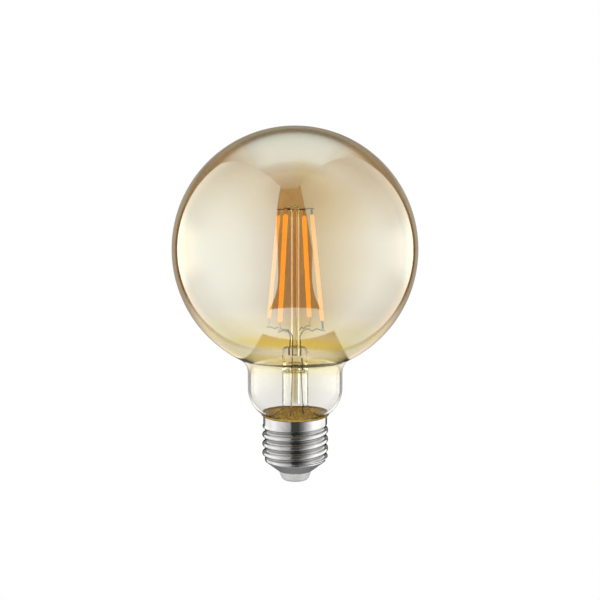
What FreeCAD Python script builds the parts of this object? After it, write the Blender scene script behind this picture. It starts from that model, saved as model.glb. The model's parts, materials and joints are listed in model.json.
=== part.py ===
import FreeCAD, Part
import math
import os
import Sketcher

VEC = FreeCAD.Vector
UP = VEC(0, 0, 1)

doc = FreeCAD.newDocument("smart_bulb")
sheet = doc.addObject("Spreadsheet::Sheet", "Dimensions")
scratch = doc.addObject("Spreadsheet::Sheet", "Scratch")

# Driving sizes in millimetres and degrees. The lamp stands cap down, contact at zero height.
SIZES = {
    # glass envelope
    "globe_radius": 47.5,
    "globe_centre": 90.5,
    "glass_wall": 0.8,
    "waist_fillet": 6.5,
    "neck_radius": 18.6,
    "shoulder_top": 36.5,
    "shoulder_radius": 12.0,
    "mouth_radius": 11.2,
    "mouth_blend": 1.5,
    "mouth_end": 22.5,
    # stem: flared tube with a pressed top
    "stem_radius": 5.15,
    "stem_wall": 0.85,
    "flare_start": 29.5,
    "flare_bend": 3.2,
    "flare_angle": 60.0,
    "cavity_top": 44.5,
    "cavity_corner_rise": 1.2,
    "cavity_corner_run": 1.0,
    "dome_start": 45.0,
    "dome_rise": 2.2,
    "pinch_start": 45.5,
    "pinch_top": 52.8,
    "pinch_half_thick": 3.3,
    "pinch_round": 2.0,
    # exhaust tube
    "exhaust_radius": 1.9,
    "exhaust_wall": 0.6,
    "exhaust_tip": 20.4,
    "exhaust_tip_rise": 2.6,
    "exhaust_tip_wall": 1.6,
    "exhaust_top": 45.4,
    # glass support pillar
    "pillar_radius": 1.6,
    "pillar_seat": 49.5,
    "bead_radius": 1.95,
    "bead_centre": 106.0,
    # wires inside the globe
    "support_wire_radius": 0.3,
    "lead_wire_radius": 0.25,
    "link_height": 106.5,
    "link_reach": 8.0,
    "link_shift": 0.36,
    "wire_circle": 2.35,
    "support_wire_seat": 49.2,
    "support_wire_level": 59.9,
    "support_wire_reach": 13.1,
    "stalk_rise": 2.2,
    "knee_out": 0.8,
    "knee_rise": 4.6,
    "elbow_out": 2.6,
    "elbow_drop": 0.5,
    "crest_out": 4.4,
    "crest_rise": 0.25,
    "dip_out": 6.0,
    "dip_drop": 0.3,
    "straight_out": 7.4,
    "lead_circle": 3.1,
    "lead_seat": 48.4,
    "lead_straight_top": 27.4,
    "lead_slant_top": 43.4,
    "lead_turn": 19.9,
    "lead_land": 18.6,
    "lead_end": 17.6,
    "lead_land_circle": 0.92,
    "lead_gap": 0.02,
    # light strips
    "strip_azimuth": 61.5,
    "strip_top_circle": 7.4,
    "strip_top_height": 104.4,
    "strip_foot_circle": 11.9,
    "strip_foot_height": 63.4,
    "carrier_wide": 1.2,
    "carrier_thick": 0.45,
    "phosphor_wide": 1.9,
    "phosphor_thick": 1.15,
    "phosphor_taper": 0.3,
    "carrier_inset": 0.7,
    "tab_wide": 0.8,
    "top_tab_reach": 1.78,
    "foot_tab_reach": 3.17,
    # screw cap
    "shell_rim": 25.6,
    "shell_band_radius": 12.6,
    "shell_band_end": 22.5,
    "shell_end": 8.0,
    "shell_end_radius": 12.0,
    "shell_wall": 0.3,
    "shell_lip": 0.3,
    "thread_crest": 13.03,
    "thread_depth": 1.08,
    "thread_pitch": 3.629,
    "thread_arc": 1.025,
    "thread_phase": 19.85,
    "thread_run_out": 1.5,
    # capping cement and potting
    "cement_foot": 23.3,
    "cement_top": 26.55,
    "cement_lip_radius": 13.05,
    "cement_lip_rise": 0.1,
    "cement_bulge_radius": 13.3,
    "cement_bulge_rise": 0.5,
    "potting_foot": 22.1,
    "potting_top": 26.0,
    "potting_bore": 1.95,
    "potting_slope_drop": 2.55,
    "potting_brow_out": 1.1,
    "potting_brow_drop": 0.2,
    "potting_crown_out": 0.5,
    "fit_gap": 0.05,
    "drill_past": 1.0,
    # insulator and contact
    "insulator_rim": 7.8,
    "insulator_nose_radius": 7.0,
    "insulator_nose": 3.9,
    "insulator_top": 8.7,
    "insulator_bore": 0.55,
    "insulator_floor": 1.6,
    "insulator_floor_inset": 0.1,
    "insulator_seat_inset": 0.45,
    "insulator_seat_drop": 0.85,
    "insulator_wall": 1.2,
    "insulator_hollow_out": 1.3,
    "insulator_hollow_rise": 1.3,
    "insulator_hub_rise": 1.0,
    "contact_radius": 6.3,
    "contact_top": 3.85,
    "contact_flat": 4.2,
    "contact_wall": 0.35,
    "contact_edge_out": 0.75,
    "contact_edge_rise": 0.25,
    "contact_shoulder_inset": 0.75,
    "contact_shoulder_rise": 0.95,
    "contact_side_drop": 0.9,
    "contact_lining_drop": 0.85,
    "contact_lining_inset": 1.1,
    "contact_lining_rise": 1.1,
    # sleeve around the driver
    "sleeve_radius": 11.45,
    "sleeve_wall": 0.3,
    "sleeve_top": 20.9,
    # mains wires and solder
    "mains_wire_radius": 0.25,
    "live_start": 0.85,
    "live_straight_top": 6.4,
    "live_bend_top": 8.0,
    "neutral_riser": 8.4,
    "neutral_start": 19.6,
    "neutral_level": 21.7,
    "neutral_reach": 11.6,
    "neutral_end": 22.9,
    "contact_solder_foot": 1.5,
    "contact_solder_peak": 0.5,
    "contact_solder_high": 1.1,
    "shell_solder_radius": 0.4,
    "shell_solder_gap": 0.03,
    "shell_solder_drop": 0.1,
    # legs, leads and pins of the electronic pieces
    "header_pin_radius": 0.25,
    "header_pin_inset": 0.95,
    "header_pin_pitch": 1.9,
    "capacitor_leg_radius": 0.25,
    "capacitor_leg_spread": 1.0,
    "capacitor_leg_inset": 0.4,
    "resistor_foot_lead": 0.6,
    "resistor_riser_extra": 0.1,
    "resistor_riser_long": 1.4,
    "resistor_cross_rise": 1.0,
    "choke_flange_radius": 2.6,
    "choke_flange_thick": 0.7,
    "winding_gap": 0.05,
    "winding_inset": 0.3,
    # folded aerial on the wireless board
    "antenna_left": -4.4,
    "antenna_foot": 16.2,
    "antenna_track": 0.35,
    "antenna_tall": 2.0,
    "antenna_pitch": 1.1,
    "antenna_thick": 0.08,
}
ANTENNA_FOLDS = 8
HEADER_PINS = 4

# Rectangular electronic pieces: long (X), wide (Y), high (Z), then the low corner.
BLOCKS = {
    "driver_board": (22.0, 1.0, 10.9, -11.0, -0.5, 8.7),
    "bridge_rectifier": (4.7, 1.5, 3.9, -8.6, 0.5, 10.2),
    "driver_chip": (4.9, 1.5, 3.9, 3.0, 0.5, 14.4),
    "warm_channel_transistor": (2.9, 1.1, 1.4, 5.6, 0.5, 9.6),
    "cool_channel_transistor": (2.9, 1.1, 1.4, 5.6, 0.5, 11.9),
    "header_block": (7.6, 2.5, 1.6, -3.8, 1.1, 10.6),
    "wireless_board": (10.0, 0.8, 8.6, -5.0, 4.6, 10.0),
    "shield_can": (6.0, 1.6, 5.2, -4.5, 5.4, 10.4),
    "clock_crystal": (2.0, 0.7, 2.5, 2.3, 5.4, 11.0),
    "ceramic_capacitor": (2.0, 1.25, 1.25, -8.4, 0.5, 15.6),
}

# Round electronic pieces: radius, long, then the middle of the first end.
DRUMS = {
    "bulk_capacitor": (2.5, 6.8, -8.2, -3.2, 13.6),
    "fusible_resistor": (1.0, 5.0, 0.0, -2.0, 9.4),
    "choke_core": (1.2, 5.0, 4.6, -0.5, 13.8),
}
KNOWN = {}


def fill_sheet():
    rows = dict(SIZES)
    for name, numbers in BLOCKS.items():
        for key, number in zip(("long", "wide", "high", "left", "front", "foot"), numbers):
            rows[name + "_" + key] = number
    for name, numbers in DRUMS.items():
        for key, number in zip(("radius", "long", "left", "front", "foot"), numbers):
            rows[name + "_" + key] = number
    for row, (name, number) in enumerate(rows.items(), start=1):
        sheet.set("A%d" % row, name)
        sheet.set("B%d" % row, repr(number))
        sheet.setAlias("B%d" % row, name)
    doc.recompute()
    return rows


DIM = fill_sheet()
NODES = []


def bound(text):
    """The sheet expression for a size formula written with plain size names."""
    out = []
    word = ""
    for sign in text + " ":
        if sign.isalnum() or sign == "_":
            word += sign
            continue
        out.append("Dimensions." + word if word in DIM else word)
        word = ""
        out.append(sign)
    return "".join(out).strip()


def value(text):
    """The number that a size formula gives now, in millimetres."""
    if text not in KNOWN:
        scratch.set("A1", "=" + bound(text))
        scratch.recompute()
        total = scratch.get("A1")
        KNOWN[text] = float(getattr(total, "Value", total))
    return KNOWN[text]


def plane_of(body, role):
    return [item for item in body.Origin.OriginFeatures if item.Role == role][0]


def new_body(label):
    body = doc.addObject("PartDesign::Body", "body_" + label)
    body.Label = label
    return body


def new_sketch(body, name, role, lift=None):
    sketch = body.newObject("Sketcher::SketchObject", name)
    sketch.AttachmentSupport = [(plane_of(body, role), "")]
    sketch.MapMode = "FlatFace"
    if lift is not None:
        sketch.setExpression("AttachmentOffset.Base.z", bound(lift))
    return sketch


def pin_point(sketch, geometry, point, across, along):
    """Hold one sketch point at size formulas measured from the sketch's origin."""
    for formula, axis, kind in ((across, -2, "DistanceX"), (along, -1, "DistanceY")):
        if formula is None:
            continue
        number = value(formula)
        if abs(number) < 1e-9:
            sketch.addConstraint(Sketcher.Constraint("PointOnObject", geometry, point, axis))
            continue
        index = sketch.addConstraint(Sketcher.Constraint(kind, -1, 1, geometry, point, number))
        sketch.setExpression("Constraints[%d]" % index, bound(formula))


def polyline(sketch, points, closed=True):
    """Straight segments through points given as pairs of size formulas."""
    spots = [VEC(value(across), value(along), 0) for across, along in points]
    count = len(spots) if closed else len(spots) - 1
    first = sketch.GeometryCount
    for index in range(count):
        sketch.addGeometry(Part.LineSegment(spots[index], spots[(index + 1) % len(spots)]), False)
    joints = count if closed else count - 1
    for index in range(joints):
        follower = first + (index + 1) % count
        sketch.addConstraint(Sketcher.Constraint("Coincident", first + index, 2, follower, 1))
    for index in range(count):
        pin_point(sketch, first + index, 1, *points[index])
    if not closed:
        pin_point(sketch, first + count - 1, 2, *points[-1])


def circles(sketch, spots, radius):
    for across, along in spots:
        centre = VEC(value(across), value(along), 0)
        index = sketch.addGeometry(Part.Circle(centre, UP, value(radius)), False)
        spot = sketch.addConstraint(Sketcher.Constraint("Radius", index, value(radius)))
        sketch.setExpression("Constraints[%d]" % spot, bound(radius))
        pin_point(sketch, index, 3, across, along)


def revolve(body, sketch, name, kind="PartDesign::Revolution"):
    turned = body.newObject(kind, name)
    turned.Profile = sketch
    turned.ReferenceAxis = (sketch, ["V_Axis"])
    turned.Angle = 360.0
    doc.recompute()
    return turned


def turned_body(label, points):
    body = new_body(label)
    sketch = new_sketch(body, label + "_profile", "XZ_Plane")
    polyline(sketch, points)
    revolve(body, sketch, label + "_turn")
    return body


def pad(body, sketch, name, length, reverse=False):
    solid = body.newObject("PartDesign::Pad", name)
    solid.Profile = sketch
    solid.Reversed = reverse
    solid.setExpression("Length", bound(length))
    doc.recompute()
    return solid


def pocket(body, sketch, name, length, reverse=False):
    before = body.Shape.Volume
    cut = body.newObject("PartDesign::Pocket", name)
    cut.Profile = sketch
    cut.Reversed = reverse
    cut.setExpression("Length", bound(length))
    doc.recompute()
    assert body.Shape.Volume < before - 1e-6, name
    return cut


def turn_about_axis(obj, degrees):
    obj.Placement = FreeCAD.Placement(VEC(0, 0, 0), FreeCAD.Rotation(UP, degrees))


def keep(obj, label):
    obj.Label = label
    NODES.append(obj)
    return obj


def arc(centre, radius, start, end):
    ring = Part.Circle(VEC(centre[0], centre[1], 0), UP, radius)
    return Part.ArcOfCircle(ring, math.radians(start), math.radians(end))


def line(start, end):
    return Part.LineSegment(VEC(start[0], start[1], 0), VEC(end[0], end[1], 0))


def heading(centre, point):
    return math.degrees(math.atan2(point[1] - centre[1], point[0] - centre[0]))


def envelope_centres():
    """Middles of the arcs that make the glass outline: globe, waist, shoulder and mouth."""
    globe = (0.0, DIM["globe_centre"])
    waist_x = DIM["neck_radius"] + DIM["waist_fillet"]
    reach = DIM["globe_radius"] + DIM["waist_fillet"]
    waist = (waist_x, globe[1] - math.sqrt(reach**2 - waist_x**2))
    shoulder = (DIM["neck_radius"] - DIM["shoulder_radius"], DIM["shoulder_top"])
    mouth_x = DIM["mouth_radius"] + DIM["mouth_blend"]
    drop = math.sqrt((DIM["shoulder_radius"] + DIM["mouth_blend"]) ** 2 - (mouth_x - shoulder[0]) ** 2)
    mouth = (mouth_x, shoulder[1] - drop)
    return globe, waist, shoulder, mouth


def glass_outline(inset):
    """One skin of the envelope from the crown to the mouth, moved inwards by the inset."""
    globe, waist, shoulder, mouth = envelope_centres()
    neck = DIM["neck_radius"] - inset
    rim = DIM["mouth_radius"] - inset
    globe_turn = heading(globe, waist)
    shoulder_turn = heading(shoulder, mouth)
    pieces = [
        arc(globe, DIM["globe_radius"] - inset, globe_turn, 90.0),
        arc(waist, DIM["waist_fillet"] + inset, globe_turn + 180.0, 180.0),
        line((neck, waist[1]), (neck, shoulder[1])),
        arc(shoulder, DIM["shoulder_radius"] - inset, shoulder_turn, 0.0),
        arc(mouth, DIM["mouth_blend"] + inset, shoulder_turn + 180.0, 180.0),
        line((rim, mouth[1]), (rim, DIM["mouth_end"])),
    ]
    return pieces


def bind(sketch, kind, numbers, formula):
    index = sketch.addConstraint(Sketcher.Constraint(kind, *numbers, value(formula)))
    sketch.setExpression("Constraints[%d]" % index, bound(formula))


def glass_skin(sketch, inset, inset_text):
    """Add one tangent-joined skin of the envelope and bind its sizes to the sheet."""
    first = sketch.GeometryCount
    for piece in glass_outline(inset):
        sketch.addGeometry(piece, False)
    globe, waist, neck, shoulder, mouth, rim = range(first, first + 6)
    for joint in ((globe, 1, waist, 1), (waist, 2, neck, 1), (neck, 2, shoulder, 2)):
        sketch.addConstraint(Sketcher.Constraint("Tangent", *joint))
    for joint in ((shoulder, 1, mouth, 1), (mouth, 2, rim, 1)):
        sketch.addConstraint(Sketcher.Constraint("Tangent", *joint))
    sketch.addConstraint(Sketcher.Constraint("PointOnObject", globe, 3, -2))
    sketch.addConstraint(Sketcher.Constraint("PointOnObject", globe, 2, -2))
    bind(sketch, "DistanceY", (-1, 1, globe, 3), "globe_centre")
    bind(sketch, "Radius", (globe,), "globe_radius - " + inset_text)
    bind(sketch, "Radius", (waist,), "waist_fillet + " + inset_text)
    bind(sketch, "DistanceX", (-1, 1, neck, 1), "neck_radius - " + inset_text)
    bind(sketch, "DistanceY", (-1, 1, neck, 2), "shoulder_top")
    bind(sketch, "Radius", (shoulder,), "shoulder_radius - " + inset_text)
    bind(sketch, "Radius", (mouth,), "mouth_blend + " + inset_text)
    bind(sketch, "DistanceX", (-1, 1, rim, 2), "mouth_radius - " + inset_text)
    bind(sketch, "DistanceY", (-1, 1, rim, 2), "mouth_end")
    return globe, rim


def glass_globe():
    body = new_body("glass_globe")
    sketch = new_sketch(body, "globe_profile", "XZ_Plane")
    outer_crown, outer_rim = glass_skin(sketch, 0.0, "0")
    inner_crown, inner_rim = glass_skin(sketch, DIM["glass_wall"], "glass_wall")
    crown_outer = (0.0, DIM["globe_centre"] + DIM["globe_radius"])
    crown_inner = (0.0, crown_outer[1] - DIM["glass_wall"])
    rim_outer = (DIM["mouth_radius"], DIM["mouth_end"])
    rim_inner = (DIM["mouth_radius"] - DIM["glass_wall"], DIM["mouth_end"])
    top = sketch.addGeometry(line(crown_outer, crown_inner), False)
    low = sketch.addGeometry(line(rim_outer, rim_inner), False)
    for joint in ((outer_crown, 2, top, 1), (inner_crown, 2, top, 2)):
        sketch.addConstraint(Sketcher.Constraint("Coincident", *joint))
    for joint in ((outer_rim, 2, low, 1), (inner_rim, 2, low, 2)):
        sketch.addConstraint(Sketcher.Constraint("Coincident", *joint))
    revolve(body, sketch, "globe_turn")
    keep(body, "glass_globe")


def stem_revolve(body):
    """Tube with a flared skirt below and a solid dome above, turned as one profile."""
    sketch = new_sketch(body, "stem_profile", "XZ_Plane")
    outer = DIM["stem_radius"]
    inner = outer - DIM["stem_wall"]
    centre = (outer + DIM["flare_bend"], DIM["flare_start"])
    turn = DIM["flare_angle"]
    edge = DIM["mouth_radius"] - DIM["glass_wall"]

    def skirt(radius):
        spot = math.radians(180.0 + turn)
        start = (centre[0] + radius * math.cos(spot), centre[1] + radius * math.sin(spot))
        fall = (edge - start[0]) / math.tan(math.radians(turn))
        return start, (edge, start[1] - fall)

    outer_start, outer_edge = skirt(DIM["flare_bend"])
    inner_start, inner_edge = skirt(DIM["flare_bend"] + DIM["stem_wall"])
    dome = (DIM["pinch_half_thick"], DIM["dome_start"] + DIM["dome_rise"])
    cavity = DIM["cavity_top"]
    corner = (inner - DIM["cavity_corner_run"], cavity - DIM["cavity_corner_rise"])
    shapes = [
        line((0.0, dome[1]), dome),
        line(dome, (outer, DIM["dome_start"])),
        line((outer, DIM["dome_start"]), (outer, centre[1])),
        arc(centre, DIM["flare_bend"], 180.0, 180.0 + turn),
        line(outer_start, outer_edge),
        line(outer_edge, inner_edge),
        line(inner_edge, inner_start),
        arc(centre, DIM["flare_bend"] + DIM["stem_wall"], 180.0, 180.0 + turn),
        line((inner, centre[1]), (inner, corner[1])),
        line((inner, corner[1]), (corner[0], cavity)),
        line((corner[0], cavity), (0.0, cavity)),
        line((0.0, cavity), (0.0, dome[1])),
    ]
    for shape in shapes:
        sketch.addGeometry(shape, False)
    for joint in ((0, 2, 1, 1), (1, 2, 2, 1), (4, 2, 5, 1), (5, 2, 6, 1), (8, 2, 9, 1), (9, 2, 10, 1),
                  (10, 2, 11, 1), (11, 2, 0, 1)):
        sketch.addConstraint(Sketcher.Constraint("Coincident", *joint))
    for joint in ((2, 2, 3, 1), (3, 2, 4, 1), (6, 2, 7, 2), (7, 1, 8, 1)):
        sketch.addConstraint(Sketcher.Constraint("Tangent", *joint))
    bind(sketch, "Radius", (3,), "flare_bend")
    bind(sketch, "Radius", (7,), "flare_bend + stem_wall")
    pin_point(sketch, 0, 1, "0", "dome_start + dome_rise")
    pin_point(sketch, 1, 1, "pinch_half_thick", "dome_start + dome_rise")
    pin_point(sketch, 2, 1, "stem_radius", "dome_start")
    pin_point(sketch, 3, 1, None, "flare_start")
    pin_point(sketch, 4, 2, "mouth_radius - glass_wall", None)
    pin_point(sketch, 6, 1, "mouth_radius - glass_wall", None)
    pin_point(sketch, 8, 1, "stem_radius - stem_wall", "flare_start")
    pin_point(sketch, 9, 1, "stem_radius - stem_wall", "cavity_top - cavity_corner_rise")
    pin_point(sketch, 10, 1, "stem_radius - stem_wall - cavity_corner_run", "cavity_top")
    pin_point(sketch, 10, 2, "0", "cavity_top")
    revolve(body, sketch, "stem_turn")


def pinch_block(body):
    """The flat pressed top of the stem, with its upper edge rounded."""
    sketch = new_sketch(body, "pinch_outline", "XY_Plane", "pinch_start")
    half = DIM["pinch_half_thick"]
    side = DIM["stem_radius"] - half
    for shape in (line((side, half), (-side, half)), arc((-side, 0.0), half, 90.0, 270.0),
                  line((-side, -half), (side, -half)), arc((side, 0.0), half, -90.0, 90.0)):
        sketch.addGeometry(shape, False)
    for joint in ((0, 2, 1, 1), (1, 2, 2, 1), (2, 2, 3, 1), (3, 2, 0, 1)):
        sketch.addConstraint(Sketcher.Constraint("Tangent", *joint))
    sketch.addConstraint(Sketcher.Constraint("PointOnObject", 1, 3, -1))
    bind(sketch, "Radius", (1,), "pinch_half_thick")
    pin_point(sketch, 3, 3, "stem_radius - pinch_half_thick", None)
    pin_point(sketch, 1, 3, "pinch_half_thick - stem_radius", None)
    block = pad(body, sketch, "pinch_pad", "pinch_top - pinch_start")
    top = DIM["pinch_top"]
    edges = ["Edge%d" % (number + 1) for number, edge in enumerate(block.Shape.Edges)
             if all(abs(corner.Z - top) < 1e-4 for corner in edge.Vertexes)]
    rounding = body.newObject("PartDesign::Fillet", "pinch_rounding")
    rounding.Base = (block, edges)
    rounding.setExpression("Radius", bound("pinch_round"))
    doc.recompute()


def ring_spots(circle, azimuths):
    """Pairs of formulas for spots on a circle, one for each azimuth in degrees."""
    return [("%s * cos(%s)" % (circle, azimuth), "%s * sin(%s)" % (circle, azimuth)) for azimuth in azimuths]


STRIP_AZIMUTHS = ("strip_azimuth - 90", "strip_azimuth", "strip_azimuth + 90", "strip_azimuth + 180")
STRIP_PLACES = ("front_right", "back_right", "back_left", "front_left")
LEAD_AZIMUTHS = ("0", "120", "240")


def drill(body, name, spots, radius, start, depth, upward):
    sketch = new_sketch(body, name + "_spots", "XY_Plane", start)
    circles(sketch, spots, radius)
    pocket(body, sketch, name, depth, upward)


def stem_flare():
    body = new_body("stem_flare")
    stem_revolve(body)
    pinch_block(body)
    centre = [("0", "0")]
    drill(body, "pillar_seat_bore", centre, "pillar_radius", "pinch_top", "pinch_top - pillar_seat", False)
    drill(body, "support_wire_bores", ring_spots("wire_circle", STRIP_AZIMUTHS), "support_wire_radius",
          "pinch_top", "pinch_top - support_wire_seat", False)
    drill(body, "lead_bores", ring_spots("wire_circle", LEAD_AZIMUTHS), "lead_wire_radius",
          "cavity_top", "lead_seat - cavity_top", True)
    drill(body, "exhaust_seat", centre, "exhaust_radius", "cavity_top", "exhaust_top - cavity_top", True)
    keep(body, "stem_flare")


def exhaust_tube():
    body = turned_body("exhaust_tube", [
        ("0", "exhaust_tip"),
        ("exhaust_radius * sin(27)", "exhaust_tip + exhaust_tip_rise * (1 - cos(22))"),
        ("exhaust_radius * sin(58)", "exhaust_tip + exhaust_tip_rise * (1 - cos(55))"),
        ("exhaust_radius", "exhaust_tip + exhaust_tip_rise"),
        ("exhaust_radius", "exhaust_top"),
        ("exhaust_radius - exhaust_wall", "exhaust_top"),
        ("exhaust_radius - exhaust_wall", "exhaust_tip + exhaust_tip_rise + exhaust_wall"),
        ("0", "exhaust_tip + exhaust_tip_wall"),
    ])
    keep(body, "exhaust_tube")


def pipe_body(label, path_role, points, radius, lift=None, profile_role="XY_Plane", profile_lift=None,
              profile_spot=None):
    """A round wire swept along straight runs with rounded corners."""
    body = new_body(label)
    path = new_sketch(body, label + "_path", path_role, lift)
    polyline(path, points, closed=False)
    profile = new_sketch(body, label + "_section", profile_role, profile_lift)
    circles(profile, [profile_spot], radius)
    doc.recompute()
    wire = body.newObject("PartDesign::AdditivePipe", label + "_sweep")
    wire.Profile = profile
    wire.Spine = (path, ["Edge%d" % (number + 1) for number in range(path.GeometryCount)])
    wire.Transition = "Round corner"
    doc.recompute()
    return body


def upright_wire(label, points, radius, azimuth):
    """A wire bent in one upright plane through the lamp's axis; its first run is vertical."""
    body = pipe_body(label, "XZ_Plane", points, radius, None, "XY_Plane", points[0][1], (points[0][0], "0"))
    turn_about_axis(body, azimuth)
    return keep(body, label)


def link_wires():
    """Two right-angled wires, each joining the tops of a neighbouring pair of light strips."""
    wires = []
    for label, turn in (("upper_link_wire_right", -90.0), ("upper_link_wire_left", 90.0)):
        points = [("link_reach", "link_shift"), ("link_shift", "link_shift"), ("link_shift", "link_reach")]
        body = pipe_body(label, "XY_Plane", points, "support_wire_radius", "link_height", "YZ_Plane",
                         "link_reach", ("link_shift", "link_height"))
        turn_about_axis(body, DIM["strip_azimuth"] + turn)
        wires.append(keep(body, label))
    return wires


def support_pillar(wires):
    """Glass rod with a bead head that is melted around the two link wires."""
    rod = doc.addObject("Part::Cylinder", "pillar_rod")
    rod.setExpression("Radius", bound("pillar_radius"))
    rod.setExpression("Height", bound("bead_centre - pillar_seat"))
    rod.setExpression("Placement.Base.z", bound("pillar_seat"))
    bead = doc.addObject("Part::Sphere", "pillar_bead")
    bead.setExpression("Radius", bound("bead_radius"))
    bead.setExpression("Placement.Base.z", bound("bead_centre"))
    blank = doc.addObject("Part::Fuse", "pillar_blank")
    blank.Base = rod
    blank.Tool = bead
    for number, wire in enumerate(wires):
        cut = doc.addObject("Part::Cut", "pillar_channel_%d" % number)
        cut.Base = blank
        cut.Tool = wire
        blank = cut
    doc.recompute()
    keep(blank, "support_pillar")


def lower_support_wires():
    level = "support_wire_level"
    points = [
        ("wire_circle", "support_wire_seat"),
        ("wire_circle", "pinch_top + stalk_rise"),
        ("wire_circle + knee_out", "pinch_top + knee_rise"),
        ("wire_circle + elbow_out", level + " - elbow_drop"),
        ("wire_circle + crest_out", level + " + crest_rise"),
        ("wire_circle + dip_out", level + " - dip_drop"),
        ("wire_circle + straight_out", level),
        ("support_wire_reach", level),
    ]
    for number, place in enumerate(STRIP_PLACES):
        azimuth = DIM["strip_azimuth"] + 90.0 * (number - 1)
        upright_wire("lower_wire_" + place, points, "support_wire_radius", azimuth)


def lead_wires():
    """Three leads from the pinch, through the potting, to the driver board."""
    top = [
        ("wire_circle", "lead_seat"),
        ("wire_circle", "lead_slant_top"),
        ("lead_circle", "lead_straight_top"),
    ]
    straight = top + [("lead_circle", "driver_board_foot + driver_board_high + lead_gap")]
    bent = top + [
        ("lead_circle", "lead_turn"),
        ("lead_land_circle", "lead_land"),
        ("lead_land_circle", "lead_end"),
    ]
    names = ("common_lead_wire", "warm_lead_wire", "cool_lead_wire")
    for name, points, azimuth in zip(names, (straight, bent, bent), LEAD_AZIMUTHS):
        upright_wire(name, points, "lead_wire_radius", float(azimuth))


def strip_frame(azimuth):
    """Placement that stands a piece on a strip's foot and leans it in towards the pillar's top."""
    run = DIM["strip_foot_circle"] - DIM["strip_top_circle"]
    rise = DIM["strip_top_height"] - DIM["strip_foot_height"]
    lean = FreeCAD.Rotation(VEC(0, 1, 0), -math.degrees(math.atan2(run, rise)))
    spin = FreeCAD.Rotation(UP, azimuth)
    foot = spin.multVec(VEC(DIM["strip_foot_circle"], 0, DIM["strip_foot_height"]))
    return FreeCAD.Placement(foot, spin.multiply(lean))


def rectangle(sketch, wide, high):
    """A rectangle centred on the sketch's origin: half sizes come from the two formulas."""
    right, left = "(%s) / 2" % wide, "0 - (%s) / 2" % wide
    top, low = "(%s) / 2" % high, "0 - (%s) / 2" % high
    polyline(sketch, [(right, low), (right, top), (left, top), (left, low)])


STRIP_LONG = "sqrt((strip_foot_circle - strip_top_circle)^2 + (strip_top_height - strip_foot_height)^2)"


def strip_carrier(name, frame):
    body = new_body(name + "_carrier")
    sketch = new_sketch(body, name + "_carrier_section", "XY_Plane", "carrier_inset")
    rectangle(sketch, "carrier_thick", "carrier_wide")
    pad(body, sketch, name + "_carrier_pad", STRIP_LONG + " - 2 * carrier_inset")
    body.Placement = frame
    keep(body, name + "_carrier")


def strip_phosphor(name, frame):
    """Silicone coat around the carrier, with its long edges and ends eased."""
    body = new_body(name + "_phosphor")
    sketch = new_sketch(body, name + "_coat_section", "XY_Plane")
    rectangle(sketch, "phosphor_thick", "phosphor_wide")
    coat = pad(body, sketch, name + "_coat_pad", STRIP_LONG)
    rounding = body.newObject("PartDesign::Fillet", name + "_coat_rounding")
    rounding.Base = (coat, ["Edge%d" % (number + 1) for number in range(len(coat.Shape.Edges))])
    rounding.setExpression("Radius", bound("phosphor_taper"))
    doc.recompute()
    slot = new_sketch(body, name + "_slot_section", "XY_Plane")
    rectangle(slot, "carrier_thick", "carrier_wide")
    pocket(body, slot, name + "_slot", STRIP_LONG, True)
    body.Placement = frame
    keep(body, name + "_phosphor")


def strip_tab(name, frame, reach, top):
    """Metal end tab: a wide root inside the coat and a narrow tongue outside it."""
    body = new_body(name)
    start = STRIP_LONG if top else "0"
    sign = "+" if top else "-"
    inner = "%s %s (0 - carrier_inset)" % (start, sign)
    outer = "%s %s %s" % (start, sign, reach)
    wide = "carrier_wide / 2"
    narrow = "tab_wide / 2"
    points = [(wide, inner), (wide, start), (narrow, start), (narrow, outer)]
    mirrored = [("0 - " + across, along) for across, along in reversed(points)]
    sketch = new_sketch(body, name + "_outline", "YZ_Plane")
    polyline(sketch, points + mirrored)
    plate = body.newObject("PartDesign::Pad", name + "_pad")
    plate.Profile = sketch
    plate.Midplane = True
    plate.setExpression("Length", bound("carrier_thick"))
    doc.recompute()
    body.Placement = frame
    keep(body, name)


def light_strips():
    for number, place in enumerate(STRIP_PLACES):
        name = "filament_" + place
        frame = strip_frame(DIM["strip_azimuth"] + 90.0 * (number - 1))
        strip_carrier(name, frame)
        strip_phosphor(name, frame)
        strip_tab(name + "_top_tab", frame, "top_tab_reach", True)
        strip_tab(name + "_foot_tab", frame, "foot_tab_reach", False)


def thread_wave(phase):
    """Radius of the rolled thread below its crest, for a height above the crest."""
    pitch = DIM["thread_pitch"]
    arc_radius = DIM["thread_arc"]
    offset = (phase + pitch / 2) % pitch - pitch / 2
    if abs(offset) <= pitch / 4:
        return math.sqrt(arc_radius**2 - offset**2) - arc_radius
    away = pitch / 2 - abs(offset)
    return arc_radius - math.sqrt(arc_radius**2 - away**2) - DIM["thread_depth"]


def ease(start, end, height):
    share = min(max((height - start) / (end - start), 0.0), 1.0)
    return share * share * (3.0 - 2.0 * share)


def shell_radius(height, angle):
    """Outside radius of the screw shell at a height and an angle."""
    crest = DIM["thread_crest"]
    middle = crest - DIM["thread_depth"] / 2
    wave = thread_wave(height - DIM["thread_phase"] - DIM["thread_pitch"] * angle / (2 * math.pi))
    wave += DIM["thread_depth"] / 2
    run_out = DIM["thread_run_out"]
    low = ease(DIM["shell_end"] + DIM["shell_lip"], DIM["shell_end"] + run_out, height)
    high = ease(DIM["shell_band_end"], DIM["shell_band_end"] - run_out, height)
    mean = DIM["shell_end_radius"] + (middle - DIM["shell_end_radius"]) * low
    mean += (DIM["shell_band_radius"] - mean) * (1.0 - high)
    return mean + wave * low * high


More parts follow.
